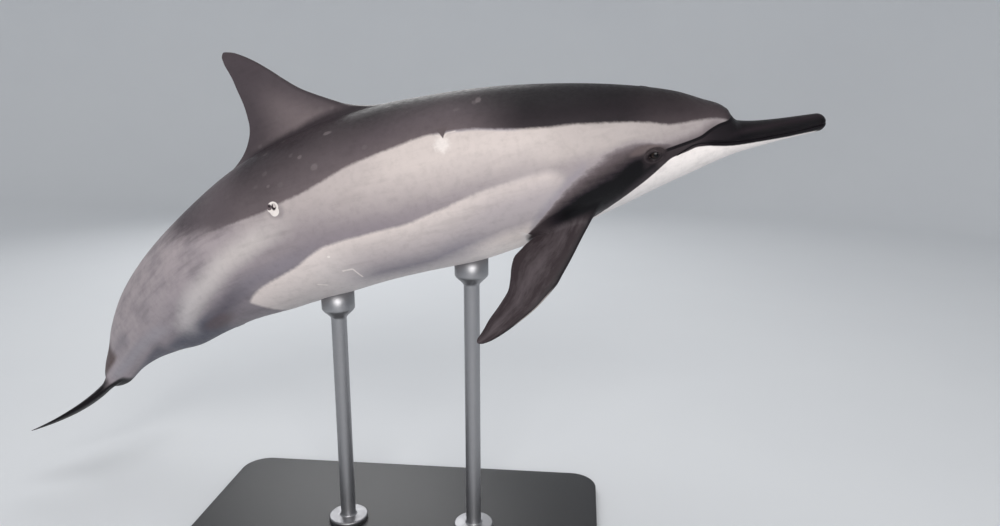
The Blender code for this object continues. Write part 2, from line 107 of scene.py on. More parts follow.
# fins: distance out, leading edge, trailing edge; then thickness over chord, and the rounded tip's length
DORSAL_SECTIONS = (
    (8.0, 43.0, 60.8),
    (9.6, 44.0, 59.1),
    (11.0, 45.4, 57.4),
    (12.1, 46.9, 56.65),
    (13.3, 48.6, 56.25),
    (14.6, 50.2, 56.1),
    (16.0, 51.4, 56.1),
    (17.4, 52.45, 56.15),
    (18.7, 53.5, 56.25),
    (19.7, 54.45, 56.35),
    (20.35, 55.2, 56.35),
    (20.7, 55.7, 56.3),
)
DORSAL_THICKNESS, DORSAL_TIP = 0.105, 0.5
FLIPPER_SECTIONS = (
    (-1.6, 0.5, 4.4),
    (0.3, -0.2, 4.3),
    (2.3, -0.8, 3.65),
    (4.5, -1.5, 3.1),
    (6.3, -2.0, 3.35),
    (7.5, -2.3, 3.4),
    (8.7, -2.35, 2.8),
    (9.8, -2.35, 1.9),
    (10.9, -2.25, 1.15),
    (12.5, -1.95, 0.85),
    (14.0, -1.6, 0.6),
    (15.3, -1.15, 0.3),
    (16.4, -0.5, 0.1),
)
FLIPPER_THICKNESS, FLIPPER_TIP = 0.15, 0.4
FLIPPER_ROOT = (24.7, 4.2, -4.4)
FLIPPER_AXES = {  # by side: the direction out, and the one from leading to trailing edge
    -1: ((0.79, 0.313, -0.526), (0.597, -0.586, 0.548)),
    1: ((0.74, 0.60, -0.30), (0.60, -0.78, -0.10)),
}
FLUKE_SECTIONS = (
    (0.0, 93.6, 98.9),
    (0.5, 93.8, 99.7),
    (1.3, 94.3, 100.3),
    (2.6, 95.0, 100.7),
    (4.2, 95.9, 100.8),
    (5.8, 97.0, 100.8),
    (7.2, 98.2, 100.95),
    (8.4, 99.4, 101.2),
    (9.3, 100.4, 101.5),
    (10.05, 101.35, 101.9),
)
FLUKE_THICKNESS, FLUKE_TIP = 0.19, 0.25
FLUKE_DROOP, FLUKE_CURL = 0.10, 0.038
EDGE_THICKNESS = 0.0009  # metres
# a foil's bulge over its chord: a factor of the square root of the share, then of its powers 1 to 4
FOIL_ROOT = 2.97
FOIL_POWERS = (-1.26, -3.516, 2.843, -1.037)

EYE_STATION, EYE_HEIGHT, EYE_SIDE = 18.1, 0.35, 4.42
EYEBALL_RADIUS = 0.0155  # metres

QUARTER = 40  # columns of the skin from the belly to the side line, and from there to the back
COLUMNS = 4 * QUARTER


# ---- small helpers ----
def ease(x):
    """Smooth step from 0 to 1."""
    x = np.clip(x, 0.0, 1.0)
    return x * x * (3 - 2 * x)


def smooth_curve(points):
    """A function through (x, y) points that never overshoots them (monotone cubic)."""
    xs = np.array([p[0] for p in points], float)
    ys = np.array([p[1] for p in points], float)
    step = np.diff(xs)
    rise = np.diff(ys) / step
    slope = np.zeros(len(xs))
    slope[0], slope[-1] = rise[0], rise[-1]
    for i in range(1, len(xs) - 1):
        if rise[i - 1] * rise[i] > 0:
            before, after = 2 * step[i] + step[i - 1], step[i] + 2 * step[i - 1]
            slope[i] = (before + after) / (before / rise[i - 1] + after / rise[i])

    def curve(x):
        x = np.clip(x, xs[0], xs[-1])
        i = np.clip(np.searchsorted(xs, x) - 1, 0, len(xs) - 2)
        t = (x - xs[i]) / step[i]
        start = (1 + 2 * t) * (1 - t) ** 2 * ys[i] + t * (1 - t) ** 2 * step[i] * slope[i]
        end = t * t * (3 - 2 * t) * ys[i + 1] + t * t * (t - 1) * step[i] * slope[i + 1]
        return start + end

    return curve


def columns_of(table):
    """A smooth curve for each further column of a table over its first one."""
    return [smooth_curve([(row[0], row[i]) for row in table]) for i in range(1, len(table[0]))]


def bump_at(x, centre, width):
    """A smooth bump of height 1."""
    return np.exp(-(((x - centre) / width) ** 2))


def window(x, rise_from, rise_to, fall_from, fall_to):
    """0 outside, 1 between rise_to and fall_from."""
    return ease((x - rise_from) / (rise_to - rise_from)) * ease((fall_to - x) / (fall_to - fall_from))


def unit(v):
    return v / np.maximum(np.linalg.norm(v, axis=-1, keepdims=True), 1e-12)


# ---- the spine ----
SPINE_END, SPINE_STEPS = 105.0, 420


def make_spine():
    """Stations along the body with the place, left and up of each."""
    s = np.linspace(0.0, SPINE_END, SPINE_STEPS + 1)
    neck = ease((NECK_FROM - s) / (NECK_FROM - NECK_TO))
    drop = ease((s - TAIL_DROP_FROM) / (TAIL_DROP_TO - TAIL_DROP_FROM))
    swing = ease((s - TAIL_SWING_FROM) / (TAIL_SWING_TO - TAIL_SWING_FROM))
    fluke = ease((s - FLUKE_FROM) / (FLUKE_TO - FLUKE_FROM))
    twist = ease((s - TWIST_FROM) / (TWIST_TO - TWIST_FROM))
    pitch = np.radians(NOSE_PITCH + NECK_PITCH * neck + TAIL_DROP * drop - FLUKE_LIFT * fluke)
    yaw = np.radians(NECK_YAW * neck + TAIL_SWING * swing + FLUKE_SWING * fluke)
    roll = np.radians(TAIL_TWIST * twist)[:, None]
    forward = np.stack(
        [np.cos(pitch) * np.cos(yaw), np.cos(pitch) * np.sin(yaw), np.sin(pitch)], axis=1
    )
    level_left = np.stack([-np.sin(yaw), np.cos(yaw), np.zeros_like(yaw)], axis=1)
    level_up = np.cross(forward, level_left)
    left = np.cos(roll) * level_left + np.sin(roll) * level_up
    up = np.cos(roll) * level_up - np.sin(roll) * level_left
    steps = -0.5 * (forward[1:] + forward[:-1]) * np.diff(s)[:, None] * UNIT
    place = np.concatenate([np.zeros((1, 3)), np.cumsum(steps, axis=0)])
    anchor = [np.interp(ANCHOR_STATION, s, place[:, axis]) for axis in range(3)]
    return s, place - anchor + ANCHOR, left, up


SPINE = make_spine()


def along_spine(values, stations):
    """Vectors of the spine at any stations."""
    return np.stack([np.interp(stations, SPINE[0], values[:, axis]) for axis in range(3)], axis=1)


def pose(points):
    """Frame places of points given in body coordinates."""
    points = np.atleast_2d(np.array(points, float))
    place, left, up = (along_spine(SPINE[i], points[:, 0]) for i in (1, 2, 3))
    return place + (left * points[:, 1:2] + up * points[:, 2:3]) * UNIT


# ---- the body's surface ----
TOP, BOTTOM, HALF_WIDTH, WIDEST, FULLNESS = columns_of(BODY_SECTIONS)
MOUTH = smooth_curve(MOUTH_LINE)


def tip_dome(u):
    """Share of the section's full size at station u: 1 but for the rounded tip of the beak."""
    return np.sqrt(np.maximum(1 - np.maximum(1 - (u - TIP_START) / TIP_ROUNDING, 0.0) ** 2, 0.0004))


def mouth_height(u):
    """Height of the line between the jaws."""
    return MOUTH(u) * tip_dome(u)


def angle_of_height(u, v):
    """Section angle, from the back, of the place at height v on the side."""
    widest = WIDEST(u)
    dome = tip_dome(u)
    reach = np.where(v > widest, TOP(u) - widest, widest - BOTTOM(u)) * dome
    share = np.clip(np.abs(v - widest) / reach, 0, 1) ** (FULLNESS(u) / 2)
    return np.arccos(np.sign(v - widest) * share)


def side_angle(u):
    """Angle of the side line: the mouth's line in front, the widest place behind."""
    behind = ease((u - MOUTH_END) / MOUTH_BLEND)
    return angle_of_height(u, mouth_height(u) * (1 - behind) + WIDEST(u) * behind * 0.999)


def section(u, a):
    """Points and outward normals, in body coordinates, at station u and signed angle a."""
    c, s = np.cos(a), np.sin(a)
    n = FULLNESS(u)
    dome = tip_dome(u)
    half = HALF_WIDTH(u) * dome
    widest = WIDEST(u)
    reach = np.where(c > 0, TOP(u) - widest, widest - BOTTOM(u)) * dome
    w = half * np.sign(s) * np.abs(s) ** (2 / n)
    v = reach * np.sign(c) * np.abs(c) ** (2 / n)
    across = np.sign(w) * np.abs(w / half) ** (n - 1) / half
    up = np.sign(v) * np.abs(v / reach) ** (n - 1) / reach
    normal = unit(np.stack([np.zeros_like(across), across, up], axis=-1))
    return np.stack([u + np.zeros_like(w), w, v + widest], axis=-1), normal


# the crease between the melon and the beak, from the top of the beak down and back to the eye
FOLD_LINE = smooth_curve((
    (9.35, 3.6), (9.6, 2.8), (9.9, 2.3), (10.35, 2.07), (11.4, 1.95), (12.4, 1.68), (13.6, 1.22),
    (15.0, 1.0), (16.0, 0.88), (17.0, 0.74), (17.7, 0.56)))
EAR, NAVEL_STATION = (21.2, 0.05), 47.5


def off_line(line, u, v):
    """Distance from a line that is given as height over station, above it positive."""
    slope = (line(u + 0.05) - line(u - 0.05)) / 0.1
    return (v - line(u)) / np.sqrt(1 + slope**2)


def relief(u, a, point):
    """How far the surface stands out from the plain section: lips, folds, keels and dimples."""
    v = point[..., 2]
    w = point[..., 1]
    mouth = off_line(mouth_height, u, v)
    on_mouth = window(u, -1.0, 0.0, 15.6, 16.4)
    out = on_mouth * (-0.12 * bump_at(mouth, 0, 0.055) + 0.04 * bump_at(np.abs(mouth), 0.19, 0.12))
    corner = bump_at(u, 16.0, 0.5) * bump_at(v - mouth_height(16.0), 0, 0.35)
    fold = off_line(FOLD_LINE, u, v)
    on_fold = window(u, 9.2, 9.4, 16.4, 17.8)
    front = ease((11.5 - u) / 2)
    out += on_fold * (-(0.06 + 0.04 * front) * bump_at(fold, -0.04, 0.09 + 0.05 * front))
    out += on_fold * (0.06 + 0.05 * front) * bump_at(fold, 0.42, 0.34)
    out += 0.05 * corner
    out += 0.2 * window(u, 74, 84, 91, 95) * bump_at(v, 0.0, 0.5)
    ear = (u - EAR[0]) ** 2 + (v - EAR[1]) ** 2
    out -= 0.07 * np.exp(-ear / 0.1**2)
    navel = (u - NAVEL_STATION) ** 2 + w**2
    out -= np.where(v < 0, 0.09 * np.exp(-navel / 0.35**2), 0)
    waves = np.sin(u * 0.61 + 1.3 * np.cos(a)) * np.sin(2.3 * a + 0.21 * u)
    return out + 0.02 * waves * window(u, 22, 30, 80, 90)


def skin_point(u, a):
    """Points of the skin at station u and signed angle a, with the relief on."""
    point, normal = section(u, a)
    return point + normal * relief(u, a, point)[..., None]


# ---- the grid of the skin ----
# where each stretch of rings ends, and the distance between its rings
RING_STRETCHES = ((8.6, 0.26), (10.2, 0.11), (16.4, 0.17), (21.0, 0.15), (31.8, 0.3), (92.0, 0.46),
                  (BODY_END, 0.22))
TIP_RINGS = 12


def make_stations():
    """Ring places, closest at the tip of the beak, in the face and at the flukes."""
    tip = TIP_START + TIP_ROUNDING * (1 - np.cos(np.linspace(0.06, 1, TIP_RINGS) * math.pi / 2))
    stations = list(tip)
    for end, step in RING_STRETCHES:
        count = max(1, round((end - stations[-1]) / step))
        stations += list(np.linspace(stations[-1], end, count + 1)[1:])
    return np.array(stations)


def make_grid():
    """Stations and signed section angles of the grid, ring by ring.

    Column 0 is the middle of the belly, QUARTER the right side line, 2 * QUARTER the back and
    3 * QUARTER the left side line. In the head the columns crowd towards the side line.
    """
    stations = make_stations()
    share = np.arange(QUARTER + 1) / QUARTER
    crowd = (0.36 + 0.64 * ease((stations - 20) / 14))[:, None]
    from_side = crowd * share + (1 - crowd) * share**2
    edge = side_angle(stations)[:, None]
    below = edge + (math.pi - edge) * from_side
    above = edge * (1 - from_side)
    right = np.concatenate([-below[:, ::-1], -above[:, 1:]], axis=1)
    angles = np.concatenate([right, -right[:, 1:-1][:, ::-1]], axis=1)
    return stations, angles


# the skin's chart, for baking: the body below, the fins in a row of patches above it
CHART_EDGE = 0.002
BODY_CHART_HEIGHT, FIN_CHART_START, FIN_CHARTS = 0.70, 0.72, 5
END_CHARTS, END_CHART_RADIUS = ((0.01, 0.71), (0.03, 0.71)), 0.006
CHART_SEAM = 10  # the body's chart starts this many columns to the left of the belly's middle
CHART_DENSITY = ((0.0, 24.0, 2.4), (24.0, 92.0, 1.0), (92.0, BODY_END, 1.3))  # from, to, width of a percent


def body_chart(station, column):
    """Chart places of grid points."""
    lengths = [(end - start) * density for start, end, density in CHART_DENSITY]
    stops = [0.0] + list(np.cumsum(lengths) / sum(lengths))
    across = np.interp(station, [row[0] for row in CHART_DENSITY] + [BODY_END], stops)
    up = (np.asarray(column) + CHART_SEAM) / COLUMNS
    x = CHART_EDGE + (1 - 2 * CHART_EDGE) * across
    y = CHART_EDGE + (BODY_CHART_HEIGHT - CHART_EDGE) * up
    return np.stack([x, y], axis=-1)


def shrunk(chart, share):
    """A ring of chart places drawn in towards its middle, rounder the smaller it is."""
    low, high = chart.min(axis=0), chart.max(axis=0)
    middle, reach = (low + high) / 2, (high - low) / 2
    straight = (chart - middle) / reach
    return middle + (unit(straight) * (1 - share) + straight * share) * share * reach


class Skin:
    """Points, faces, fin values and chart places of the skin while it is being made."""

    def __init__(self):
        self.stations, self.angles = make_grid()
        rows, columns = self.angles.shape
        u = np.repeat(self.stations[:, None], columns, axis=1)
        self.points = [skin_point(u, self.angles).reshape(-1, 3)]
        self.count = rows * columns
        self.number = np.arange(self.count).reshape(rows, columns)
        self.opened = np.zeros((rows - 1, columns), bool)
        self.faces = []
        self.charts = []
        self.fin = [np.zeros((self.count, 5))]  # kind, weight, place out, place across, side
        self.fin_charts = 0

    def all_points(self):
        return np.concatenate(self.points)

    def add(self, points, fin=None):
        """Adds points and gives their numbers."""
        first = self.count
        self.points.append(np.array(points, float))
        self.fin.append(np.zeros((len(points), 5)) if fin is None else fin)
        self.count += len(points)
        return np.arange(first, self.count)

    def join(self, ring_a, chart_a, ring_b, chart_b):
        """Faces between two rings of equal count."""
        count = len(ring_a)
        for k in range(count):
            m = (k + 1) % count
            self.faces.append((ring_a[k], ring_a[m], ring_b[m], ring_b[k]))
            self.charts.append((chart_a[k], chart_a[m], chart_b[m], chart_b[k]))

    def block(self, start, end, low, high):
        """Opens the cells between two stations and two columns.

        Returns the numbers and chart places of the points round the opening, from the middle of
        its front edge towards the higher columns and on round.
        """
        i0 = int(np.argmin(np.abs(self.stations - start)))
        i1 = int(np.argmin(np.abs(self.stations - end)))
        middle = (low + high) // 2
        for j in range(low, high):
            self.opened[i0:i1, j % COLUMNS] = True
        loop = [(i0, j) for j in range(middle, high)]
        loop += [(i, high) for i in range(i0, i1)]
        loop += [(i1, j) for j in range(high, low, -1)]
        loop += [(i, low) for i in range(i1, i0, -1)]
        loop += [(i0, j) for j in range(low, middle)]
        numbers = np.array([self.number[i, j % COLUMNS] for i, j in loop])
        chart = body_chart(self.stations[[i for i, _ in loop]], [j for _, j in loop])
        return numbers, chart

    def column_at(self, station, height, side):
        """The column nearest to a height on one side at a station."""
        i = int(np.argmin(np.abs(self.stations - station)))
        angle = side * float(angle_of_height(self.stations[i], height))
        return int(np.argmin(np.abs(self.angles[i] - angle)))

    def fin_chart(self, chart):
        """The outline of a block's chart, moved to the next free patch for a fin."""
        low, high = chart.min(axis=0), chart.max(axis=0)
        size = np.array((1 / FIN_CHARTS - 2 * CHART_EDGE, 1 - FIN_CHART_START - CHART_EDGE))
        corner = np.array((self.fin_charts / FIN_CHARTS + CHART_EDGE, FIN_CHART_START))
        self.fin_charts += 1
        return corner + (chart - low) / (high - low) * size

    def close(self):
        """Faces of the cells that are still closed, and of the two ends."""
        for i, j in np.argwhere(~self.opened):
            m = (j + 1) % COLUMNS
            column = (j + CHART_SEAM) % COLUMNS - CHART_SEAM
            self.faces.append((self.number[i, j], self.number[i, m],
                               self.number[i + 1, m], self.number[i + 1, j]))
            corners = self.stations[[i, i, i + 1, i + 1]]
            self.charts.append(body_chart(corners, [column, column + 1, column + 1, column]))
        turn = 2 * math.pi * np.arange(COLUMNS) / COLUMNS
        disk = END_CHART_RADIUS * np.stack([np.cos(turn), np.sin(turn)], axis=-1)
        for i, place in zip((0, -1), END_CHARTS):
            self.faces.append(tuple(self.number[i]))
            self.charts.append(place + disk)


# ---- openings with lids or lips ----
def even_loop(outline, count):
    """count points at equal distances round a closed outline given as a function of the turn."""
    turns = np.linspace(0, 2 * math.pi, 721)
    fine = outline(turns)
    run = np.concatenate([[0], np.cumsum(np.linalg.norm(np.diff(fine, axis=0), axis=1))])
    wanted = np.linspace(0, run[-1], count, endpoint=False)
    return np.stack([np.interp(wanted, run, fine[:, k]) for k in (0, 1)], axis=1)


def add_opening(skin, block, outline, to_angle, profile, inner, rings):
    """Rings from an opened block in to an outline, and a few more that lead inside.

    Plane places are (station, second coordinate): height on a side, or the left-right place on
    the back and belly. profile(distance, plane place) says how far the skin stands out there.
    inner gives the size and depth of each ring inside.
    """
    loop, outer_chart = block
    second = 2 if to_angle.on_side else 1
    start = skin.all_points()[loop][:, [0, second]]
    rim = outline(len(loop))
    choices = []
    for turned in (rim, rim[::-1]):
        for shift in range(len(loop)):
            miss = np.sum((np.roll(turned, shift, axis=0) - start) ** 2)
            choices.append((miss, shift, turned is rim))
    _, shift, as_given = min(choices)
    rim = np.roll(rim if as_given else rim[::-1], shift, axis=0)
    reach = np.linalg.norm(start - rim, axis=1)
    middle = rim.mean(axis=0)
    total = rings + len(inner)
    last, last_chart = loop, outer_chart
    for k in range(1, total + 1):
        if k <= rings:
            out = (1 - k / rings) ** 1.7
            plane = rim + (start - rim) * out
        else:
            scale, depth = inner[k - rings - 1]
            plane = middle + (rim - middle) * scale
        angle = to_angle(plane)
        point, normal = section(plane[:, 0], angle)
        if k <= rings:
            stand = relief(plane[:, 0], angle, point) + profile(reach * out, plane)
        else:
            stand = profile(0 * reach, rim) - depth
        ring = skin.add(point + normal * stand[:, None])
        chart = shrunk(outer_chart, 1 - 0.9 * k / total)
        skin.join(last, last_chart, ring, chart)
        last, last_chart = ring, chart
    skin.faces.append(tuple(last))
    skin.charts.append(last_chart)


def on_side(side):
    """Section angles of (station, height) places on one side."""
    def to_angle(plane):
        return side * angle_of_height(plane[:, 0], plane[:, 1])

    to_angle.on_side = True
    return to_angle


def on_back(plane):
    """Section angles of (station, left-right) places on the back."""
    share = np.clip(np.abs(plane[:, 1]) / HALF_WIDTH(plane[:, 0]), 0, 1)
    return np.sign(plane[:, 1]) * np.arcsin(share ** (FULLNESS(plane[:, 0]) / 2))


def on_belly(plane):
    """Section angles of (station, left-right) places on the belly."""
    back = on_back(plane)
    return np.where(back >= 0, math.pi - back, -math.pi - back)


on_back.on_side = False
on_belly.on_side = False


def oval(centre, half_length, half_height):
    """An outline function for an oval opening."""
    def outline(count):
        def curve(turn):
            back = centre[0] + half_length * np.cos(turn)
            return np.stack([back, centre[1] + half_height * np.sin(turn)], axis=-1)

        return even_loop(curve, count)

    return outline


def lip(height, off, width, groove=0.0, groove_width=1.0):
    """A profile function: a lip at a distance off the outline, and a groove along the outline."""
    def profile(distance, plane):
        return height * bump_at(distance, off, width) - groove * bump_at(distance, 0, groove_width)

    return profile


EYE_CENTRE = (18.28, 0.36)
EYE_HALF_LENGTH, EYE_HALF_HEIGHT, EYE_TILT = 0.41, 0.275, math.radians(-10)
LID_THICKNESS = 0.05
EYE_BLOCK = (16.7, 19.9, 18.2, -1.2, 1.85)  # start, end, and at this station: bottom, top
EYE_INNER = ((0.94, 0.02), (0.86, 0.09), (0.7, 0.3), (0.4, 0.55))


def eye_outline(count):
    """The slit between the lids: an oval drawn out a little to its two corners."""
    def outline(turn):
        x = EYE_HALF_LENGTH * np.cos(turn)
        y = EYE_HALF_HEIGHT * np.sin(turn) * (1 - 0.18 * np.cos(turn) ** 2)
        back = EYE_CENTRE[0] + x * math.cos(EYE_TILT) - y * math.sin(EYE_TILT)
        up = EYE_CENTRE[1] + x * math.sin(EYE_TILT) + y * math.cos(EYE_TILT)
        return np.stack([back, up], axis=-1)

    return even_loop(outline, count)


def eye_profile(distance, plane):
    """Lids that lie on the eyeball, a fold over the upper one and a fainter one below."""
    radius = EYEBALL_RADIUS / UNIT
    off = (plane[:, 0] - EYE_STATION) ** 2 + (plane[:, 1] - EYE_HEIGHT) ** 2
    ball = EYE_SIDE + np.sqrt(np.maximum(radius**2 - off, 0.04))
    body, _ = section(plane[:, 0], angle_of_height(plane[:, 0], plane[:, 1]))
    on_ball = ball + LID_THICKNESS - body[:, 1]
    ahead, high = plane[:, 0] - EYE_CENTRE[0], plane[:, 1] - EYE_CENTRE[1]
    lean = high / np.sqrt(ahead**2 + high**2 + 0.01)
    above, below = ease((lean + 0.25) / 0.9), ease((0.15 - lean) / 0.9)
    stand = on_ball * (1 - ease(distance / 0.3))
    stand += (0.035 + 0.05 * above) * bump_at(distance, 0.16, 0.1)
    stand -= (0.015 + 0.075 * above) * bump_at(distance, 0.36 + 0.05 * below, 0.065)
    stand += 0.07 * above * bump_at(distance, 0.55, 0.13)
    stand -= 0.025 * below * bump_at(distance, 0.56, 0.1)
    stand += 0.02 * below * bump_at(distance, 0.74, 0.14)
    return stand * ease((1.25 - distance) / 0.45)


def centred_block(skin, start, end, middle, half_columns):
    """A block of columns on both sides of a middle one."""
    return skin.block(start, end, middle - half_columns, middle + half_columns)


def side_block(skin, side, start, end, station, bottom, top):
    """A block on one side between two stations, and between two heights at a station."""
    low, high = (skin.column_at(station, height, side) for height in (bottom, top)[::-side])
    return skin.block(start, end, low, high + (high - low) % 2)


def add_eye_openings(skin):
    for side in (-1, 1):
        block = side_block(skin, side, *EYE_BLOCK)
        add_opening(skin, block, eye_outline, on_side(side), eye_profile, EYE_INNER, rings=20)


BLOWHOLE_STATION, BLOWHOLE_HALF_WIDTH, BLOWHOLE_BEND, BLOWHOLE_GAP = 17.5, 0.62, 0.42, 0.06
BLOWHOLE_BLOCK, BLOWHOLE_HALF_COLUMNS = (15.9, 18.7), 7


def add_blowhole(skin):
    """A crescent on top of the head, its ends bent forward."""
    def outline(count):
        def crescent(turn):
            arch = BLOWHOLE_BEND * np.cos(turn) ** 2
            gap = BLOWHOLE_GAP * np.sin(turn) * abs(np.sin(turn))
            return np.stack([BLOWHOLE_STATION - arch + gap, BLOWHOLE_HALF_WIDTH * np.cos(turn)], axis=-1)

        return even_loop(crescent, count)

    block = centred_block(skin, *BLOWHOLE_BLOCK, 2 * QUARTER, BLOWHOLE_HALF_COLUMNS)
    profile = lip(0.05, 0.12, 0.12, 0.09, 0.06)
    add_opening(skin, block, outline, on_back, profile, ((0.97, 0.08), (0.93, 0.25)), rings=12)


# start, end, half width, and how far the opened block reaches beyond the ends
BELLY_SLITS = ((61.9, 65.3, 0.06, 0.9), (68.0, 68.9, 0.12, 0.7))
SLIT_HALF_COLUMNS = 5


def add_slits(skin):
    """The genital slit and the vent, closed, along the middle of the belly."""
    for start, end, half_width, margin in BELLY_SLITS:
        outline = oval(((start + end) / 2, 0), (end - start) / 2, half_width)
        block = centred_block(skin, start - margin, end + margin, 0, SLIT_HALF_COLUMNS)
        profile = lip(0.05, 0.16, 0.14, 0.08, 0.07)
        add_opening(skin, block, outline, on_belly, profile, ((0.96, 0.08), (0.9, 0.2)), rings=8)


BITE_CENTRE, BITE_HALF_LENGTH, BITE_HALF_HEIGHT = (53.62, 3.93), 0.44, 0.38
BITE_REACH, BITE_REACH_UP = 1.2, 1.3
BITE_DISH = ((0.9, 0.0), (0.75, 0.06), (0.55, 0.13), (0.35, 0.1), (0.15, 0.07))


def add_bite(skin):
    """The healed bite of a cookie-cutter shark on the right side: a shallow dish with a raised rim."""
    back, up = BITE_CENTRE
    block = side_block(skin, -1, back - BITE_REACH, back + BITE_REACH, back,
                       up - BITE_REACH_UP, up + BITE_REACH_UP)
    outline = oval(BITE_CENTRE, BITE_HALF_LENGTH, BITE_HALF_HEIGHT)
    add_opening(skin, block, outline, on_side(-1), lip(0.06, 0.12, 0.14), BITE_DISH, rings=8)


# ---- fins grown out of the skin ----
FILLET_RINGS = 10
FILLET_RISE = 1.5  # how steeply, at most, a fillet runs into its fin


def foil_half(chord, share, thickness):
    """Half the thickness of a foil at a share of its chord."""
    bulge = FOIL_ROOT * np.sqrt(share)
    for i, factor in enumerate(FOIL_POWERS):
        bulge = bulge + factor * share ** (i + 1)
    return 0.5 * thickness * chord * bulge + 0.5 * EDGE_THICKNESS / UNIT


def outside_body(point):
    """Above 0 outside the plain body, below 0 inside it."""
    u, w, v = point[:, 0], point[:, 1], point[:, 2]
    widest = WIDEST(u)
    reach = np.where(v > widest, TOP(u) - widest, widest - BOTTOM(u))
    n = FULLNESS(u)
    return np.abs(w / HALF_WIDTH(u)) ** n + np.abs((v - widest) / reach) ** n - 1


def root_distances(place, low, high):
    """Where each line of a fin leaves the body between low and high, by halving the stretch."""
    low, high = np.full(place.count, low), np.full(place.count, high)
    for _ in range(30):
        middle = (low + high) / 2
        out = outside_body(place(middle)) > 0
        high = np.where(out, middle, high)
        low = np.where(out, low, middle)
    return high


def grow_fin(skin, block, kind, shape, to_body, root, rings, fillet=0.0, rear_fillet=0.0):
    """Rings from an opened block over a fillet to a fin's root, and on out to its tip.

    root is the stretch in which the fin leaves the body, and the fillets say how much further out
    it begins at its leading and trailing edge. With None first, it begins at the second number.
    """
    loop, body_outline = block
    count = len(loop)
    sections, thickness, tip_radius = shape
    leading, trailing = columns_of(sections)
    tip = sections[-1][0]
    half = count // 2
    step = np.minimum(np.arange(count), count - np.arange(count)) / half
    share = 0.15 * step + 0.85 * (1 - np.cos(math.pi * step)) / 2
    sign = np.where(np.arange(count) <= half, 1.0, -1.0)
    sign[[0, half]] = 0.0
    outer = skin.all_points()[loop]

    def place(out, turn=0, face=1):
        """The fin's outline at each line's own distance out."""
        s, sg = np.roll(share, turn), face * np.roll(sign, turn)
        lead, trail = leading(out), trailing(out)
        trail = trail + 0.02 * np.sin(2.3 * out + 1) * ease((out - 2) / 4)
        chord = trail - lead
        thinned = np.sqrt(np.maximum(1 - np.clip(out / tip, 0, 1) ** 6, 0.04))
        end = np.clip((out - tip + tip_radius) / tip_radius, 0, 1)
        round_off = np.sqrt(np.maximum(1 - end**2, 0.002))
        middle = lead + 0.5 * chord
        across = middle + (lead + s * chord - middle) * round_off
        return to_body(out, across, sg * foil_half(chord, s, thickness) * thinned * round_off)

    choices = []
    for face in (1, -1):
        for turn in range(-count // 8, count // 8 + 1):
            trial = place(np.full(count, root[1] if root[0] is None else 1.0), turn, face)
            choices.append((np.sum((trial - outer) ** 2), turn, face))
    _, turn, face = min(choices)

    def placed(out):
        return place(out, turn, face)

    placed.count = count
    chord_share = np.roll(share, turn)
    side = face * np.roll(sign, turn)
    if root[0] is None:
        start = np.full(count, root[1])
    else:
        start = root_distances(placed, *root) + fillet + (rear_fillet - fillet) * chord_share
    first = placed(start)
    ahead = unit(placed(start + 0.2) - first)
    _, normal = section(outer[:, 0], np.arctan2(outer[:, 1], outer[:, 2] - WIDEST(outer[:, 0])))
    gap = first - outer
    length = np.linalg.norm(gap, axis=1, keepdims=True)
    leave = unit(gap - np.sum(gap * normal, axis=1, keepdims=True) * normal)
    rise = np.minimum(0.9 * length, FILLET_RISE)
    outer_chart = skin.fin_chart(body_outline)
    total = FILLET_RINGS + rings
    last, last_chart = loop, outer_chart
    for k in range(1, total + 1):
        chart = shrunk(outer_chart, 1 - 0.95 * k / total)
        t = min(k / FILLET_RINGS, 1)
        if k <= FILLET_RINGS:
            out = start * t
            point = ((2 * t**3 - 3 * t**2 + 1) * outer + (t**3 - 2 * t**2 + t) * leave * length * 1.15
                     + (3 * t**2 - 2 * t**3) * first + (t**3 - t**2) * ahead * rise)
        else:
            out = start + (tip - start) * (1 - (1 - (k - FILLET_RINGS) / rings) ** 1.4)
            point = placed(out)
        values = (np.full(count, kind), np.full(count, t), out, chord_share, side)
        ring = skin.add(point, np.stack(values, axis=1))
        skin.join(last, last_chart, ring, chart)
        last, last_chart = ring, chart
    for k in range(half):
        corners = [(turn + by) % count for by in (k, k + 1, -k - 1, -k)]
        corners = list(dict.fromkeys(corners))
        if len(corners) > 2:
            skin.faces.append(tuple(last[corners]))
            skin.charts.append(last_chart[corners])


DORSAL_KIND, FLIPPER_KIND, FLUKE_KIND = 1, 2, 3
# where the skin is opened, the root and fillets as grow_fin() takes them, and the count of rings
DORSAL_BLOCK, DORSAL_ROOT, DORSAL_FILLETS, DORSAL_RINGS = (42.2, 63.0), (8.1, 14.0), (1.2, 0.9), 46
FLIPPER_BLOCKS = {-1: (23.2, 31.9, -4.6), 1: (23.1, 30.4, -4.8)}  # by side: start, end, height
FLIPPER_ROOT_STRETCH, FLIPPER_FILLETS, FLIPPER_RINGS = (-1.5, 9.0), (1.3, 0.5), 44
FLUKE_BLOCK, FLUKE_ROOT, FLUKE_RINGS = (93.0, 98.3), (None, 1.7), 40
FIN_HALF_COLUMNS, FLUKE_HALF_COLUMNS = 5, 18


def add_dorsal(skin):
    def to_body(out, across, thick):
        return np.stack([across, thick, out], axis=1)

    block = centred_block(skin, *DORSAL_BLOCK, 2 * QUARTER, FIN_HALF_COLUMNS)
    shape = (DORSAL_SECTIONS, DORSAL_THICKNESS, DORSAL_TIP)
    grow_fin(skin, block, DORSAL_KIND, shape, to_body, DORSAL_ROOT, DORSAL_RINGS, *DORSAL_FILLETS)


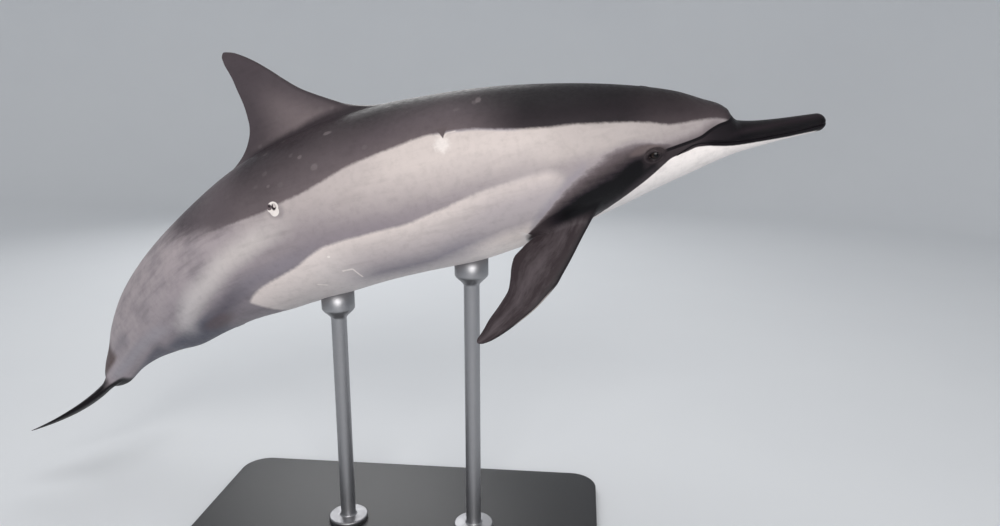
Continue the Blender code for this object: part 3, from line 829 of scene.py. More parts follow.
def flipper_to_body(side):
    """A function from the flipper's own coordinates to the body's."""
    out_direction, across_direction = (np.array(v) * (1, side, 1) for v in FLIPPER_AXES[side])
    root = np.array(FLIPPER_ROOT) * (1, side, 1)
    out_axis = unit(out_direction)
    across_axis = unit(across_direction - out_axis * (across_direction @ out_axis))
    thick_axis = np.cross(out_axis, across_axis)

    def to_body(out, across, thick):
        return (root + out[:, None] * out_axis + across[:, None] * across_axis
                + thick[:, None] * thick_axis)

    return to_body


def add_flippers(skin):
    for side, (start, end, height) in FLIPPER_BLOCKS.items():
        middle = skin.column_at((start + end) / 2, height, side)
        block = centred_block(skin, start, end, middle, FIN_HALF_COLUMNS)
        shape = (FLIPPER_SECTIONS, FLIPPER_THICKNESS, FLIPPER_TIP)
        grow_fin(skin, block, FLIPPER_KIND, shape, flipper_to_body(side), FLIPPER_ROOT_STRETCH,
                 FLIPPER_RINGS, *FLIPPER_FILLETS)


def add_flukes(skin):
    for side in (-1, 1):
        def to_body(out, across, thick, side=side):
            up = thick + (FLUKE_CURL * out - FLUKE_DROOP) * out
            return np.stack([across, side * out, up], axis=1)

        block = centred_block(skin, *FLUKE_BLOCK, QUARTER * (2 + side), FLUKE_HALF_COLUMNS)
        shape = (FLUKE_SECTIONS, FLUKE_THICKNESS, FLUKE_TIP)
        grow_fin(skin, block, FLUKE_KIND, shape, to_body, FLUKE_ROOT, FLUKE_RINGS)


# ---- markings: how far each point lies from the edges of the colour pattern ----
# each line gives a height over stations; the stripe and the chin are the right side's
CAPE_EDGE = smooth_curve((
    (9.0, 1.2), (10.0, 1.95), (11.2, 2.44), (13.0, 2.72), (16.0, 2.86), (18.0, 3.38), (20.0, 3.85),
    (24.0, 4.58), (28.0, 5.05), (31.0, 5.7), (34.0, 6.42), (38.0, 6.75), (41.0, 6.42), (46.0, 5.7),
    (49.0, 4.8), (52.0, 4.22), (56.0, 3.75), (60.0, 3.72), (63.3, 4.5), (66.7, 5.5), (70.0, 6.6)))
CHIN_EDGE = smooth_curve((
    (0.0, -0.6), (1.2, -0.7), (4.0, -0.72), (8.0, -0.58), (10.0, -0.42), (12.0, -0.04), (13.0, 0.2),
    (14.0, 0.3), (15.2, 0.08), (16.6, -0.18), (17.45, -0.66), (18.7, -1.5), (20.0, -2.3), (22.0, -3.45),
    (24.3, -4.7), (26.0, -5.4), (29.0, -5.6), (30.6, -5.0), (31.6, -4.2)))
PATCH_EDGE = smooth_curve((
    (26.0, -0.6), (26.4, 0.5), (27.0, 0.9), (28.0, 1.14), (31.0, 0.94), (34.0, 0.66), (38.0, -0.1),
    (42.0, -0.8), (46.0, -0.9), (50.0, -1.06), (52.0, -1.6), (54.0, -2.38), (58.3, -3.2), (61.0, -4.0),
    (63.0, -5.2), (65.0, -5.9)))
# the stripe from eye to flipper: where its black ends above, where it has faded out, its lower edge
STRIPE_BLACK = smooth_curve((
    (16.3, 0.75), (18.3, 0.3), (20.0, 0.1), (20.6, -0.1), (21.5, -0.65), (24.0, -1.65), (28.0, -3.4),
    (30.0, -4.4), (31.5, -5.2)))
STRIPE_FADED = smooth_curve((
    (16.3, 1.05), (17.6, 1.45), (20.0, 2.0), (21.0, 2.0), (24.0, 1.25), (26.3, -0.2), (28.0, -1.9),
    (30.0, -3.8), (31.8, -5.3)))
STRIPE_LOW = smooth_curve(((18.0, -0.2), (19.2, -0.88), (21.0, -2.1), (24.0, -3.75), (28.0, -5.4)))
STREAK_LINE = smooth_curve((
    (50.0, 2.6), (55.0, 1.7), (60.0, 0.6), (63.3, -0.4), (66.7, -1.2), (70.0, -2.1), (72.5, -3.1)))
UNDER_LINE = smooth_curve((
    (50.0, -0.7), (54.0, -1.6), (60.0, -2.6), (66.0, -4.0), (72.0, -5.0)))
KEEL_LINE = smooth_curve(((74.0, -1.8), (80.0, -1.0), (85.0, -0.6), (94.0, 0.0)))
LINES = {"cape": CAPE_EDGE, "patch": PATCH_EDGE, "streak": STREAK_LINE, "under": UNDER_LINE,
         "keel": KEEL_LINE, "fold": FOLD_LINE, "mouth": mouth_height}
LEFT_DRAWN = 1.5  # the left flipper sits further forward, so stripe and chin are drawn forward there


def signed_marks(points):
    """Each mark's value at points in body coordinates: mostly the distance from a line, above it +."""
    u, w, v = points[:, 0], points[:, 1], points[:, 2]
    ahead, high = u - EYE_CENTRE[0], v - EYE_CENTRE[1]
    along = ahead * math.cos(EYE_TILT) + high * math.sin(EYE_TILT)
    across = -ahead * math.sin(EYE_TILT) + high * math.cos(EYE_TILT)
    marks = {name: off_line(line, u, v) for name, line in LINES.items()}
    drawn = u + LEFT_DRAWN * np.clip(w / 2, 0, 1) * np.clip((u - 20) / 6, 0, 1)
    width = np.maximum(STRIPE_FADED(drawn) - STRIPE_BLACK(drawn), 0.3)
    marks["ramp"] = np.clip((v - STRIPE_BLACK(drawn)) / width, -4, 4)
    marks["low"] = off_line(STRIPE_LOW, drawn, v)
    marks["chin"] = off_line(CHIN_EDGE, drawn, v)
    marks["drawn"] = drawn
    level = along * EYE_HALF_HEIGHT / EYE_HALF_LENGTH
    marks["eye"] = np.where(v > -3, np.sqrt(level**2 + across**2), 9)
    marks["back"], marks["left"], marks["up"] = u, w, v
    return marks


MARKS = (*LINES, "chin", "low", "ramp", "drawn", "eye", "back", "left", "up",
         "dorsal", "flipper", "out", "chord", "face")


# ---- materials ----
def linear(*display):
    """Linear colour of a display colour given as 0 to 255."""
    return tuple(c / 255 / 12.92 if c <= 10 else ((c / 255 + 0.055) / 1.055) ** 2.4 for c in display)


class Paint:
    """A material's node tree, built with short calls."""

    def __init__(self, name):
        self.material = bpy.data.materials.new(name)
        self.material.use_nodes = True
        self.tree = self.material.node_tree
        self.shader = self.tree.nodes["Principled BSDF"]

    def put(self, socket, value):
        """Links another node's output to a socket, or sets its number or linear colour."""
        if isinstance(value, bpy.types.NodeSocket):
            self.tree.links.new(value, socket)
        elif isinstance(value, tuple) and len(value) == 3 and socket.type == "RGBA":
            socket.default_value = (*value, 1.0)
        else:
            socket.default_value = value

    def attribute(self, name, output="Fac"):
        node = self.tree.nodes.new("ShaderNodeAttribute")
        node.attribute_name = name
        return node.outputs[output]

    def math(self, operation, a, b=0.0):
        node = self.tree.nodes.new("ShaderNodeMath")
        node.operation = operation
        self.put(node.inputs[0], a)
        self.put(node.inputs[1], b)
        return node.outputs[0]

    def vector_math(self, operation, a, b, output="Value"):
        node = self.tree.nodes.new("ShaderNodeVectorMath")
        node.operation = operation
        self.put(node.inputs[0], a)
        self.put(node.inputs[1], b)
        return node.outputs[output]

    def times(self, *factors):
        product = factors[0]
        for factor in factors[1:]:
            product = self.math("MULTIPLY", product, factor)
        return product

    def rise(self, value, low, high, to_low=0.0, to_high=1.0):
        """Smooth step from to_low at low to to_high at high. low may be above high."""
        node = self.tree.nodes.new("ShaderNodeMapRange")
        node.interpolation_type = "SMOOTHSTEP"
        if low > high:
            low, high, to_low, to_high = high, low, to_high, to_low
        self.put(node.inputs[0], value)
        for i, number in enumerate((low, high, to_low, to_high)):
            node.inputs[i + 1].default_value = number
        return node.outputs[0]

    def span(self, value, start, full, fading, end):
        """0 up to start, 1 from full to fading, 0 from end on."""
        return self.times(self.rise(value, start, full), self.rise(value, end, fading))

    def between(self, value, start, end, soft):
        """1 from start to end, with soft edges centred on both."""
        half = soft / 2
        return self.span(value, start - half, start + half, end - half, end + half)

    def band(self, value, centre, width):
        """1 at the centre, 0 beyond the width on both sides."""
        off = self.math("ABSOLUTE", self.math("SUBTRACT", value, centre))
        return self.rise(off, width, 0.0)

    def mix(self, share, a, b):
        """From a to b by a share."""
        node = self.tree.nodes.new("ShaderNodeMix")
        node.data_type = "RGBA"
        self.put(node.inputs[0], share)
        self.put(node.inputs[6], a)
        self.put(node.inputs[7], b)
        return node.outputs[2]

    def lay(self, colour, shade, *shares):
        """A shade, as numbers from 0 to 255 or a socket, over a colour by the product of the shares."""
        if isinstance(shade, tuple):
            shade = linear(*shade)
        return self.mix(self.times(*shares), colour, shade)

    def shades(self, value, *stops):
        """Display colours along a value: each stop is (value, red, green, blue)."""
        low, high = stops[0][0], stops[-1][0]
        place = self.math("DIVIDE", self.math("SUBTRACT", value, low), high - low)
        node = self.tree.nodes.new("ShaderNodeValToRGB")
        elements = node.color_ramp.elements
        for at, *_ in stops[1:-1]:
            elements.new((at - low) / (high - low))
        for element, (_, *colour) in zip(elements, stops):
            element.color = (*linear(*colour), 1)
        self.put(node.inputs[0], place)
        return node.outputs[0]

    def object_place(self):
        return self.tree.nodes.new("ShaderNodeTexCoord").outputs["Object"]

    def noise(self, vector, scale, detail=3.0, rough=0.55, stretch=None):
        """Noise from 0 to 1, finer along an axis where stretch is above 1."""
        if stretch:
            node = self.tree.nodes.new("ShaderNodeMapping")
            self.put(node.inputs[0], vector)
            node.inputs["Scale"].default_value = stretch
            vector = node.outputs[0]
        node = self.tree.nodes.new("ShaderNodeTexNoise")
        self.put(node.inputs["Vector"], vector)
        node.inputs["Scale"].default_value = scale
        node.inputs["Detail"].default_value = detail
        node.inputs["Roughness"].default_value = rough
        return node.outputs[0]

    def surface(self, values):
        """Sets or links sockets of the shader by name."""
        for name, value in values.items():
            self.put(self.shader.inputs[name], value)

    def bump(self, height, distance, strength):
        node = self.tree.nodes.new("ShaderNodeBump")
        self.put(node.inputs["Height"], height)
        node.inputs["Distance"].default_value = distance
        node.inputs["Strength"].default_value = strength
        self.put(self.shader.inputs["Normal"], node.outputs[0])


# display colours, and stops of (value, red, green, blue)
BLACK = (18, 14, 19)
SCAR = (240, 232, 228)
FLANK_BAND = ((30, 172, 163, 165), (38, 156, 147, 151), (44, 146, 137, 143), (50, 146, 137, 143),
              (56, 130, 123, 131))
RAMP_SHADES = ((0, 11, 10, 14), (0.12, 36, 31, 36), (0.3, 66, 58, 61), (0.5, 86, 77, 79),
               (0.7, 106, 96, 99), (0.88, 138, 129, 132), (1, 164, 155, 157))


class SkinPaint(Paint):
    """The dolphin's skin, layer over layer. Each layer takes the colour so far and gives the next."""

    def __init__(self):
        super().__init__("dolphin_skin")
        self.at = self.attribute("body_at", "Vector")
        self.mark = {name: self.attribute("mark_" + name) for name in MARKS}
        self.back, self.up = self.mark["back"], self.mark["up"]
        self.soft = self.centred(self.noise(self.at, 0.3, 4.0))
        self.fine = self.centred(self.noise(self.at, 2.2, 4.0, 0.6))
        self.streaks = self.centred(self.noise(self.at, 0.5, 4.0, 0.6, stretch=(0.35, 1, 2.6)))
        self.right = self.rise(self.mark["left"], 0.3, -0.3)

    def centred(self, value):
        return self.math("SUBTRACT", value, 0.5)

    def loose(self, value, soft, fine=0.0):
        """A value made to wander: by soft over long stretches, by fine over short ones."""
        value = self.math("ADD", value, self.times(self.soft, 2 * soft))
        if fine:
            value = self.math("ADD", value, self.times(self.fine, 2 * fine))
        return value

    def from_line(self, name):
        """Distance from a marked line on either side of it."""
        return self.math("ABSOLUTE", self.mark[name])

    def flank(self):
        """The grey side: paler upwards as painted light, greyer to the face, with a darker band over the
        patch.
        """
        back, height = self.back, self.loose(self.up, 0.9, 0.3)
        # front and rear: the side's own grey, made paler upwards, which is painted light from above
        front = self.shades(height, (0.4, 164, 155, 157), (2.0, 187, 177, 176), (4.2, 212, 201, 197))
        rear = self.shades(height, (0.4, 152, 143, 147), (3.6, 185, 175, 174))
        colour = self.mix(self.rise(self.loose(back, 3), 38, 52), front, rear)
        face = self.shades(self.loose(back, 1), (10, 160, 152, 154), (14, 171, 162, 162),
                           (20, 184, 175, 173), (26, 194, 184, 181), (30, 205, 195, 191))
        face = self.lay(face, (166, 157, 159), self.rise(height, 2.6, 0.8))
        colour = self.lay(colour, face, self.rise(back, 31, 25))
        near = self.rise(self.loose(self.mark["patch"], 0.3, 0.1), 1.9, 0.15)
        return self.lay(colour, self.shades(back, *FLANK_BAND), near,
                        self.rise(back, 25, 43, 0.1, 1.0), self.rise(back, 60, 54))

    def tail(self, colour):
        """Tail stock greys: clouds, the dark band below, pale streak, vent, keel; the underside partly
        painted shade.
        """
        mark, back, up = self.mark, self.back, self.up
        grey = self.shades(self.loose(up, 0.6, 0.3), (-3, 146, 138, 144), (0.5, 170, 160, 164),
                           (4, 179, 168, 171))
        cloud = self.math("ADD", self.times(self.streaks, 0.6), self.soft)
        grey = self.lay(grey, (126, 120, 126), self.rise(cloud, -0.16, 0.2, 0.0, 0.45))
        colour = self.lay(colour, grey, self.rise(self.loose(back, 3), 52, 62))
        under = self.shades(back, (56, 142, 135, 143), (60, 132, 126, 134), (63, 112, 106, 115),
                            (68, 95, 90, 100))
        colour = self.lay(colour, under, self.band(self.loose(mark["under"], 0.25, 0.15), 0, 1.5),
                          self.span(back, 49, 56, 70, 77))
        # The underside behind the vent: its own dark, deepened by painted shade
        colour = self.lay(colour, (92, 92, 105), self.rise(self.loose(up, 0.5, 0.2), -2.6, -3.8),
                          self.span(back, 66, 71, 78, 83))
        pale = self.shades(back, (60, 204, 196, 194), (71, 198, 192, 193))
        colour = self.lay(colour, pale, self.band(self.loose(mark["streak"], 0.35, 0.15), 0, 2.0),
                          self.rise(back, 51, 57), self.rise(self.loose(back, 1.6, 1.2), 77, 69))
        vent = self.loose(self.spot((68.0, -4.7), (3.2, 0.8)), 0.3, 0.3)
        colour = self.lay(colour, (98, 84, 87), self.rise(vent, 1.3, 0.4), 0.65)
        colour = self.lay(colour, (163, 157, 164), self.band(self.loose(mark["keel"], 0.3, 0.1), 0, 1.3),
                          self.span(back, 73, 78, 91, 95))
        # The lower side of the tail stock, darker and bluish: partly its own dark, partly painted shade
        colour = self.lay(colour, (98, 96, 108), self.rise(self.loose(up, 0.3, 0.2), -1.6, -2.5),
                          self.rise(back, 78, 82))
        colour = self.lay(colour, (128, 123, 130), self.between(back, 82.5, 87.5, 2),
                          self.band(up, 1.4, 1.4), 0.6)
        return self.lay(colour, (95, 80, 80), self.rise(self.loose(back, 0.8), 87.5, 89.5),
                        self.rise(up, 0.6, 1.3))

    def patch(self, colour):
        """The pale belly patch, with a greyer band low on the side that is painted shade."""
        back, depth = self.back, self.loose(self.mark["patch"], 0.3, 0.15)
        # The dip to grey about 4 below the patch edge, in front, middle and rear, is painted shade where
        # the belly curves away from the light
        front = self.shades(depth, (-6, 240, 230, 226), (-5.3, 232, 222, 218), (-4.3, 178, 170, 173),
                            (-2.2, 184, 175, 177), (-0.6, 212, 201, 198), (0, 204, 194, 192))
        pale = self.shades(depth, (-6, 222, 214, 213), (-4.4, 152, 147, 155), (-2.8, 186, 177, 179),
                           (-1.2, 205, 195, 193), (-0.2, 220, 209, 205))
        rear = self.shades(depth, (-6, 224, 217, 217), (-3.0, 210, 202, 201), (-0.2, 228, 217, 213))
        pale = self.mix(self.rise(self.loose(back, 1), 33, 38), front, pale)
        pale = self.lay(pale, rear, self.rise(self.loose(back, 1), 46, 52))
        edge = self.loose(self.mark["patch"], 0.1, 0.12)
        share = self.mix(self.rise(back, 27, 33), self.rise(edge, 0.5, -0.6),
                         self.rise(edge, 0.18, -0.24))
        end = self.math("ADD", self.loose(back, 0.1, 0.2), self.times(self.up, -0.7))
        return self.lay(colour, pale, share, self.rise(self.loose(back, 0.3, 0.2), 25.5, 28.2),
                        self.rise(end, 65.2, 64.4))

    def stripe(self, colour):
        """The dark stripe from eye to flipper, black below and fading upwards, with a painted shadow beside
        it.
        """
        mark, back = self.mark, self.mark["drawn"]
        lines = self.times(self.streaks, 0.45, self.between(back, 21, 31, 4))
        ramp = self.times(self.loose(mark["ramp"], 0.07, 0.1), self.rise(back, 21.5, 25, 1.0, 1.3))
        ramp = self.math("ADD", ramp, lines)
        # Painted shadow: a blue-grey shade laid beside the stripe's rear edge, over the front of the pale
        # side
        shade_beside = self.times(self.math("SUBTRACT", ramp, 1.0), self.rise(back, 24, 30, 2.0, 0.4))
        colour = self.lay(colour, (150, 145, 156), self.rise(shade_beside, 1.0, 0.0),
                          self.between(back, 24.5, 30.8, 1.0), 0.6)
        ramp = self.math("MAXIMUM", ramp, self.rise(back, 26.8, 30.3, 0.0, 0.34))
        colour = self.lay(colour, self.shades(ramp, *RAMP_SHADES), self.rise(ramp, 1.2, 0.8),
                          self.span(back, 16.1, 17.0, 31.0, 31.5))
        fringe = self.rise(self.loose(mark["low"], 0.1, 0.08), 0.15, -0.5)
        return self.lay(colour, self.shades(mark["low"], (-1.6, 72, 64, 68), (-0.2, 44, 39, 43)),
                        fringe, self.span(back, 17.9, 18.6, 30.3, 31.0))

    def cape(self, colour):
        """The dark back, with a pale border at the shoulder and a streaky end behind the fin."""
        mark, back = self.mark, self.back
        height = self.loose(mark["cape"], 0.5, 0.25)
        shade = self.shades(height, (0, 76, 67, 70), (1.2, 58, 51, 54), (3.2, 36, 31, 34))
        neck = self.shades(height, (0, 47, 41, 45), (2.5, 27, 23, 27))
        shoulder = self.shades(height, (0, 106, 96, 99), (1.6, 89, 80, 84), (3.8, 42, 37, 40))
        hind = self.shades(height, (0, 110, 100, 103), (1.5, 99, 90, 93), (5, 58, 51, 55))
        rear = self.shades(self.loose(back, 1.5, 0.8), (58, 95, 86, 90), (62, 100, 91, 95),
                           (66, 84, 76, 81), (70, 130, 121, 125))
        wandering = self.loose(back, 1)
        for place, start, full, part in ((back, 15, 21, neck), (wandering, 28, 36, shoulder),
                                         (wandering, 42, 50, hind), (back, 56, 60, rear)):
            shade = self.lay(shade, part, self.rise(place, start, full))
        edge = self.loose(mark["cape"], 0.1, 0.14)
        torn = self.math("ADD", edge, self.times(self.streaks, self.rise(back, 58, 66, 0.0, 2.6)))
        share = self.mix(self.rise(back, 56, 64), self.rise(edge, -0.2, 0.16),
                         self.rise(torn, -1.5, 1.0))
        colour = self.lay(colour, (160, 154, 165), self.band(mark["cape"], 0.0, 0.3),
                          self.between(back, 29.5, 37, 2), 0.7)
        return self.lay(colour, shade, share, self.rise(back, 73, 65))

    def beak(self, colour):
        """The beak with a painted sheen, the dark wedge behind it, the crease over it with painted shade
        above, and its dark lips.
        """
        back, fold = self.back, self.mark["fold"]
        # Painted shade: grey over the skin just above the crease, where the fold shades it
        colour = self.lay(colour, (108, 99, 102), self.rise(self.loose(fold, 0.05, 0.1), 1.0, 0.0),
                          self.span(back, 10.2, 12.5, 17.2, 18.5), 0.75)
        wedge = self.shades(back, (9, 24, 20, 24), (12, 34, 29, 33), (14.5, 56, 49, 52), (18, 54, 47, 50))
        below = self.times(self.rise(fold, 0.05, -0.05), self.rise(back, 18.4, 17.2))
        colour = self.lay(colour, wedge, self.math("MAXIMUM", below, self.rise(back, 9.4, 9.25)))
        # The beak's black, with a paler stripe along its upper side that is a painted sheen
        beak_with_sheen = self.shades(self.up, (-1, 10, 7, 12), (0.3, 12, 9, 14), (0.7, 38, 31, 36),
                           (1.1, 20, 16, 20), (2, 12, 9, 13))
        colour = self.lay(colour, beak_with_sheen, self.rise(back, 11.2, 8.6))
        crease = self.math("ABSOLUTE", self.math("ADD", fold, 0.12))
        colour = self.lay(colour, BLACK, self.rise(crease, 0.2, 0.1), self.span(back, 9.1, 9.9, 17.0, 18.3))
        return self.lay(colour, BLACK, self.rise(self.from_line("mouth"), 0.34, 0.16),
                        self.rise(back, 14.0, 12.0))

    def chin(self, colour):
        """The white chin and throat, and the dark line between the jaws."""
        back = self.back
        shade = self.shades(self.loose(self.up, 0.4, 0.2), (-6, 236, 231, 231), (-2, 250, 243, 240))
        colour = self.lay(colour, shade, self.rise(self.loose(self.mark["chin"], 0.02, 0.03), 0.05, -0.06),
                          self.rise(self.loose(self.mark["drawn"], 0, 0.2), 32.0, 30.9),
                          self.rise(back, 1.0, 1.7))
        return self.lay(colour, BLACK, self.rise(self.from_line("mouth"), 0.1, 0.04),
                        self.rise(back, 16.3, 16.0))

    def eyelids(self, colour):
        """The dark patch round the eye: a paler ring, a dark fold, a black rim, pinkish corners."""
        eye, up, back = self.mark["eye"], self.up, self.back
        halo = self.loose(self.spot((18.9, 0.35), (1.75, 1.2)), 0.03, 0.06)
        colour = self.lay(colour, (104, 92, 92), self.rise(halo, 1.12, 0.86), self.rise(up, 0.5, 0.9), 0.8)
        colour = self.lay(colour, (50, 43, 46), self.rise(self.loose(back, 0.1, 0.2), 19.7, 18.9),
                          self.rise(back, 17.8, 18.4), self.rise(self.mark["low"], -0.1, 0.3),
                          self.rise(up, 0.4, 0.1), 0.8)
        lids = self.mix(self.rise(up, 0.2, 0.75), linear(40, 34, 37), linear(62, 54, 56))
        colour = self.lay(colour, lids, self.rise(self.loose(eye, 0, 0.08), 0.98, 0.6),
                          self.rise(up, 1.35, 0.95))
        low_or_behind = self.math("MAXIMUM", self.rise(up, 0.25, 0.0), self.rise(back, 18.6, 18.9))
        colour = self.lay(colour, (78, 69, 71), self.band(eye, 0.63, 0.11), low_or_behind, 0.35)
        colour = self.lay(colour, (40, 34, 36), self.band(eye, 0.7, 0.09), self.rise(up, 0.5, 0.8), 0.5)
        colour = self.lay(colour, (18, 15, 17), self.rise(eye, 0.36, 0.3))
        corners = [self.rise(self.spot(centre, radii), 1.2, 0.5)
                   for centre, radii in (((17.88, 0.46), (0.09, 0.07)), ((18.67, 0.26), (0.1, 0.07)))]
        return self.lay(colour, (84, 70, 70), self.math("MAXIMUM", *corners), 0.45)

    def fins(self, colour):
        """Dark fins: the dorsal paler in the middle, the flippers ribbed, the flukes almost black."""
        mark = self.mark
        out, chord, face = mark["out"], mark["chord"], mark["face"]
        middle = self.math("ADD", self.band(chord, 0.45, 0.5), self.times(self.streaks, 0.5))
        dorsal = self.lay(linear(80, 72, 76), (122, 111, 113), middle, self.rise(out, 17.5, 11.0))
        dorsal = self.lay(dorsal, (62, 55, 59), self.rise(chord, 0.1, 0.0))
        colour = self.lay(colour, dorsal, self.rise(self.loose(mark["dorsal"], 0.1, 0.1), 0.35, 1.0))
        place = self.tree.nodes.new("ShaderNodeCombineXYZ")
        for socket, value in zip(place.inputs, (self.times(out, 0.3), self.times(chord, 5.0), face)):
            self.put(socket, value)
        ribs = self.centred(self.noise(place.outputs[0], 1.6, 5.0, 0.65))
        middle = self.math("ADD", self.times(self.band(chord, 0.5, 0.42), 0.7), self.times(ribs, 2.4))
        flipper = self.mix(middle, linear(58, 50, 53), linear(90, 82, 85))
        flipper = self.lay(flipper, (36, 31, 35), self.rise(chord, 0.1, 0.02))
        flipper = self.lay(flipper, (186, 176, 174), self.rise(chord, 0.012, 0.0),
                           self.between(out, 8.2, 12.6, 1.5), 0.8)
        reached = self.times(mark["flipper"], self.rise(chord, 0.5, 1.0, 1.0, 1.7))
        colour = self.lay(colour, flipper, self.rise(self.loose(reached, 0.05, 0.08), 0.3, 0.85))
        fluke = self.lay(linear(*BLACK), (66, 56, 58), self.rise(face, -0.2, 0.6),
                         self.rise(chord, 0.02, 0.2), self.rise(self.loose(out, 0.5, 0.5), 10, 7))
        lowered = self.times(self.rise(self.up, -0.1, -1.0), -2.2)
        dark = self.loose(self.math("SUBTRACT", self.back, lowered), 0.3, 0.2)
        return self.lay(colour, fluke, self.rise(dark, 93.7, 95.1))

    def spot(self, centre, radii):
        """1 at the rim of an oval on both sides, less inside it."""
        place = self.vector_math("SUBTRACT", self.at, (centre[0], 0.0, centre[1]), "Vector")
        place = self.vector_math("MULTIPLY", place, (1 / radii[0], 0.0, 1 / radii[1]), "Vector")
        return self.vector_math("LENGTH", place, (0.0, 0.0, 0.0))

    def stroke(self, start, end, width):
        """1 on a straight scratch on the right side, 0 off it."""
        start, end = Vector((start[0], 0, start[1])), Vector((end[0], 0, end[1]))
        along, length = (end - start).normalized(), (end - start).length
        place = self.vector_math("SUBTRACT", self.at, tuple(start), "Vector")
        run = self.vector_math("DOT_PRODUCT", place, tuple(along))
        off = self.math("ABSOLUTE", self.vector_math("DOT_PRODUCT", place, (-along.z, 0.0, along.x)))
        return self.times(self.rise(off, width, width * 0.3), self.between(run, 0, length, 0.2), self.right)

    def scars(self, colour):
        """Old marks of this one animal's right side."""
        right, up = self.right, self.up
        blotch = self.loose(self.spot((36.7, 5.6), (1.0, 0.85)), 0.1, 0.5)
        colour = self.lay(colour, SCAR, self.rise(blotch, 1.1, 0.3), right, 0.8)
        for start, end in (((36.38, 6.28), (36.0, 6.52)), ((36.0, 6.52), (35.2, 6.5)),
                           ((36.6, 6.3), (37.1, 6.55))):
            colour = self.lay(colour, (226, 215, 210), self.stroke(start, end, 0.1), 0.7)
        aside = self.math("ABSOLUTE", self.math("SUBTRACT", self.back, 36.45))
        wedge = self.math("SUBTRACT", aside, self.times(self.math("SUBTRACT", up, 6.15), 0.6))
        colour = self.lay(colour, (98, 88, 90), self.rise(self.loose(wedge, 0, 0.06), 0.06, -0.06),
                          self.rise(up, 7.3, 6.9), right)
        shadow = self.spot((53.35, 3.45), (0.95, 0.85))
        colour = self.lay(colour, (104, 97, 104), self.rise(shadow, 1.1, 0.5), right, 0.4)
        ring = self.math("MINIMUM", self.spot((53.58, 3.92), (0.57, 0.56)),
                         self.spot((53.5, 3.56), (0.46, 0.54)))
        colour = self.lay(colour, SCAR, self.rise(self.loose(ring, 0, 0.05), 1.06, 0.94), right)
        for place, radii, shade in (((53.95, 4.05), (0.24, 0.32), (98, 86, 90)),
                                    ((53.93, 4.12), (0.11, 0.14), (46, 38, 42)),
                                    ((53.52, 3.93), (0.27, 0.34), (50, 42, 46)),
                                    ((53.42, 4.06), (0.17, 0.23), (214, 203, 201))):
            blob = self.loose(self.spot(place, radii), 0, 0.15)
            colour = self.lay(colour, shade, self.rise(blob, 1.1, 0.75), right)
        for start, end, width in (((49.8, -4.05), (48.7, -4.1), 0.13), ((48.7, -4.1), (48.4, -5.3), 0.12),
                                  ((53.2, -4.8), (52.3, -5.2), 0.12)):
            colour = self.lay(colour, SCAR, self.stroke(start, end, width), 0.85)
        return self.lay(colour, SCAR, self.rise(self.spot((50.2, -2.2), (0.18, 0.14)), 1.1, 0.6), right)

    def flecks(self, colour):
        """Faint pale flecks on the back, and fine mottling everywhere."""
        node = self.tree.nodes.new("ShaderNodeTexVoronoi")
        self.put(node.inputs["Vector"], self.at)
        node.inputs["Scale"].default_value = 0.42
        fleck = self.rise(self.loose(node.outputs["Distance"], 0, 0.08), 0.16, 0.07)
        colour = self.lay(colour, (116, 108, 110), fleck, self.rise(self.mark["cape"], 0.2, 0.8),
                          self.rise(self.back, 24, 30), 0.3)
        for place, radii in (((50.3, 7.8), (0.22, 0.17)), ((47.6, 9.3), (0.4, 0.15)),
                             ((32.8, 8.8), (0.3, 0.25)), ((48.9, 6.5), (0.35, 0.3)),
                             ((53.7, 6.0), (0.2, 0.15))):
            fleck = self.rise(self.loose(self.spot(place, radii), 0, 0.4), 1.3, 0.6)
            colour = self.lay(colour, (124, 115, 117), fleck, self.right, 0.55)
        darker = self.lay(colour, (0, 0, 0), 0.5)
        grain = self.noise(self.at, 1.3, 5.0, 0.65)
        colour = self.lay(colour, darker, self.rise(grain, 0.42, 0.75, 0.0, 0.2))
        cloud = self.math("ADD", self.times(self.soft, 0.5), self.times(self.streaks, 0.7))
        return self.lay(colour, darker, self.rise(cloud, 0.0, 0.22, 0.0, 0.22))

    def finish(self):
        colour = self.flank()
        for layer in (self.tail, self.patch, self.stripe, self.cape, self.beak, self.chin,
                      self.eyelids, self.fins, self.scars, self.flecks):
            colour = layer(colour)
        self.surface({"Base Color": colour, "Roughness": self.rise(self.fine, -0.2, 0.2, 0.4, 0.52),
                      "Specular IOR Level": 0.16})
        self.bump(self.noise(self.at, 7.0, 3.0), 0.0006, 0.3)
        return self.material


# ---- putting the skin together ----
def mesh_object(name, points, faces, material, charts=None):
    """A smooth-shaded object, with the chart for baking if chart places are given."""
    mesh = bpy.data.meshes.new(name)
    mesh.from_pydata([tuple(q) for q in points], [], [tuple(int(k) for k in f) for f in faces])
    if charts is not None:
        layer = mesh.uv_layers.new(name="OFBake")
        layer.data.foreach_set("uv", np.concatenate(charts).astype(np.float32).ravel())
    mesh.validate()
    mesh.shade_smooth()
    mesh.materials.append(material)
    obj = bpy.data.objects.new(name, mesh)
    bpy.context.scene.collection.objects.link(obj)
    return obj


def store(mesh, name, values, kind="FLOAT", field="value"):
    """Puts one value on each point, for the material."""
    attribute = mesh.attributes.new(name, kind, "POINT")
    attribute.data.foreach_set(field, np.asarray(values, np.float32).ravel())


def turn_outwards(mesh):
    """Makes all faces of a closed mesh look outwards."""
    work = bmesh.new()
    work.from_mesh(mesh)
    bmesh.ops.recalc_face_normals(work, faces=work.faces)
    if work.calc_volume(signed=True) < 0:
        bmesh.ops.reverse_faces(work, faces=work.faces)
    work.to_mesh(mesh)
    work.free()


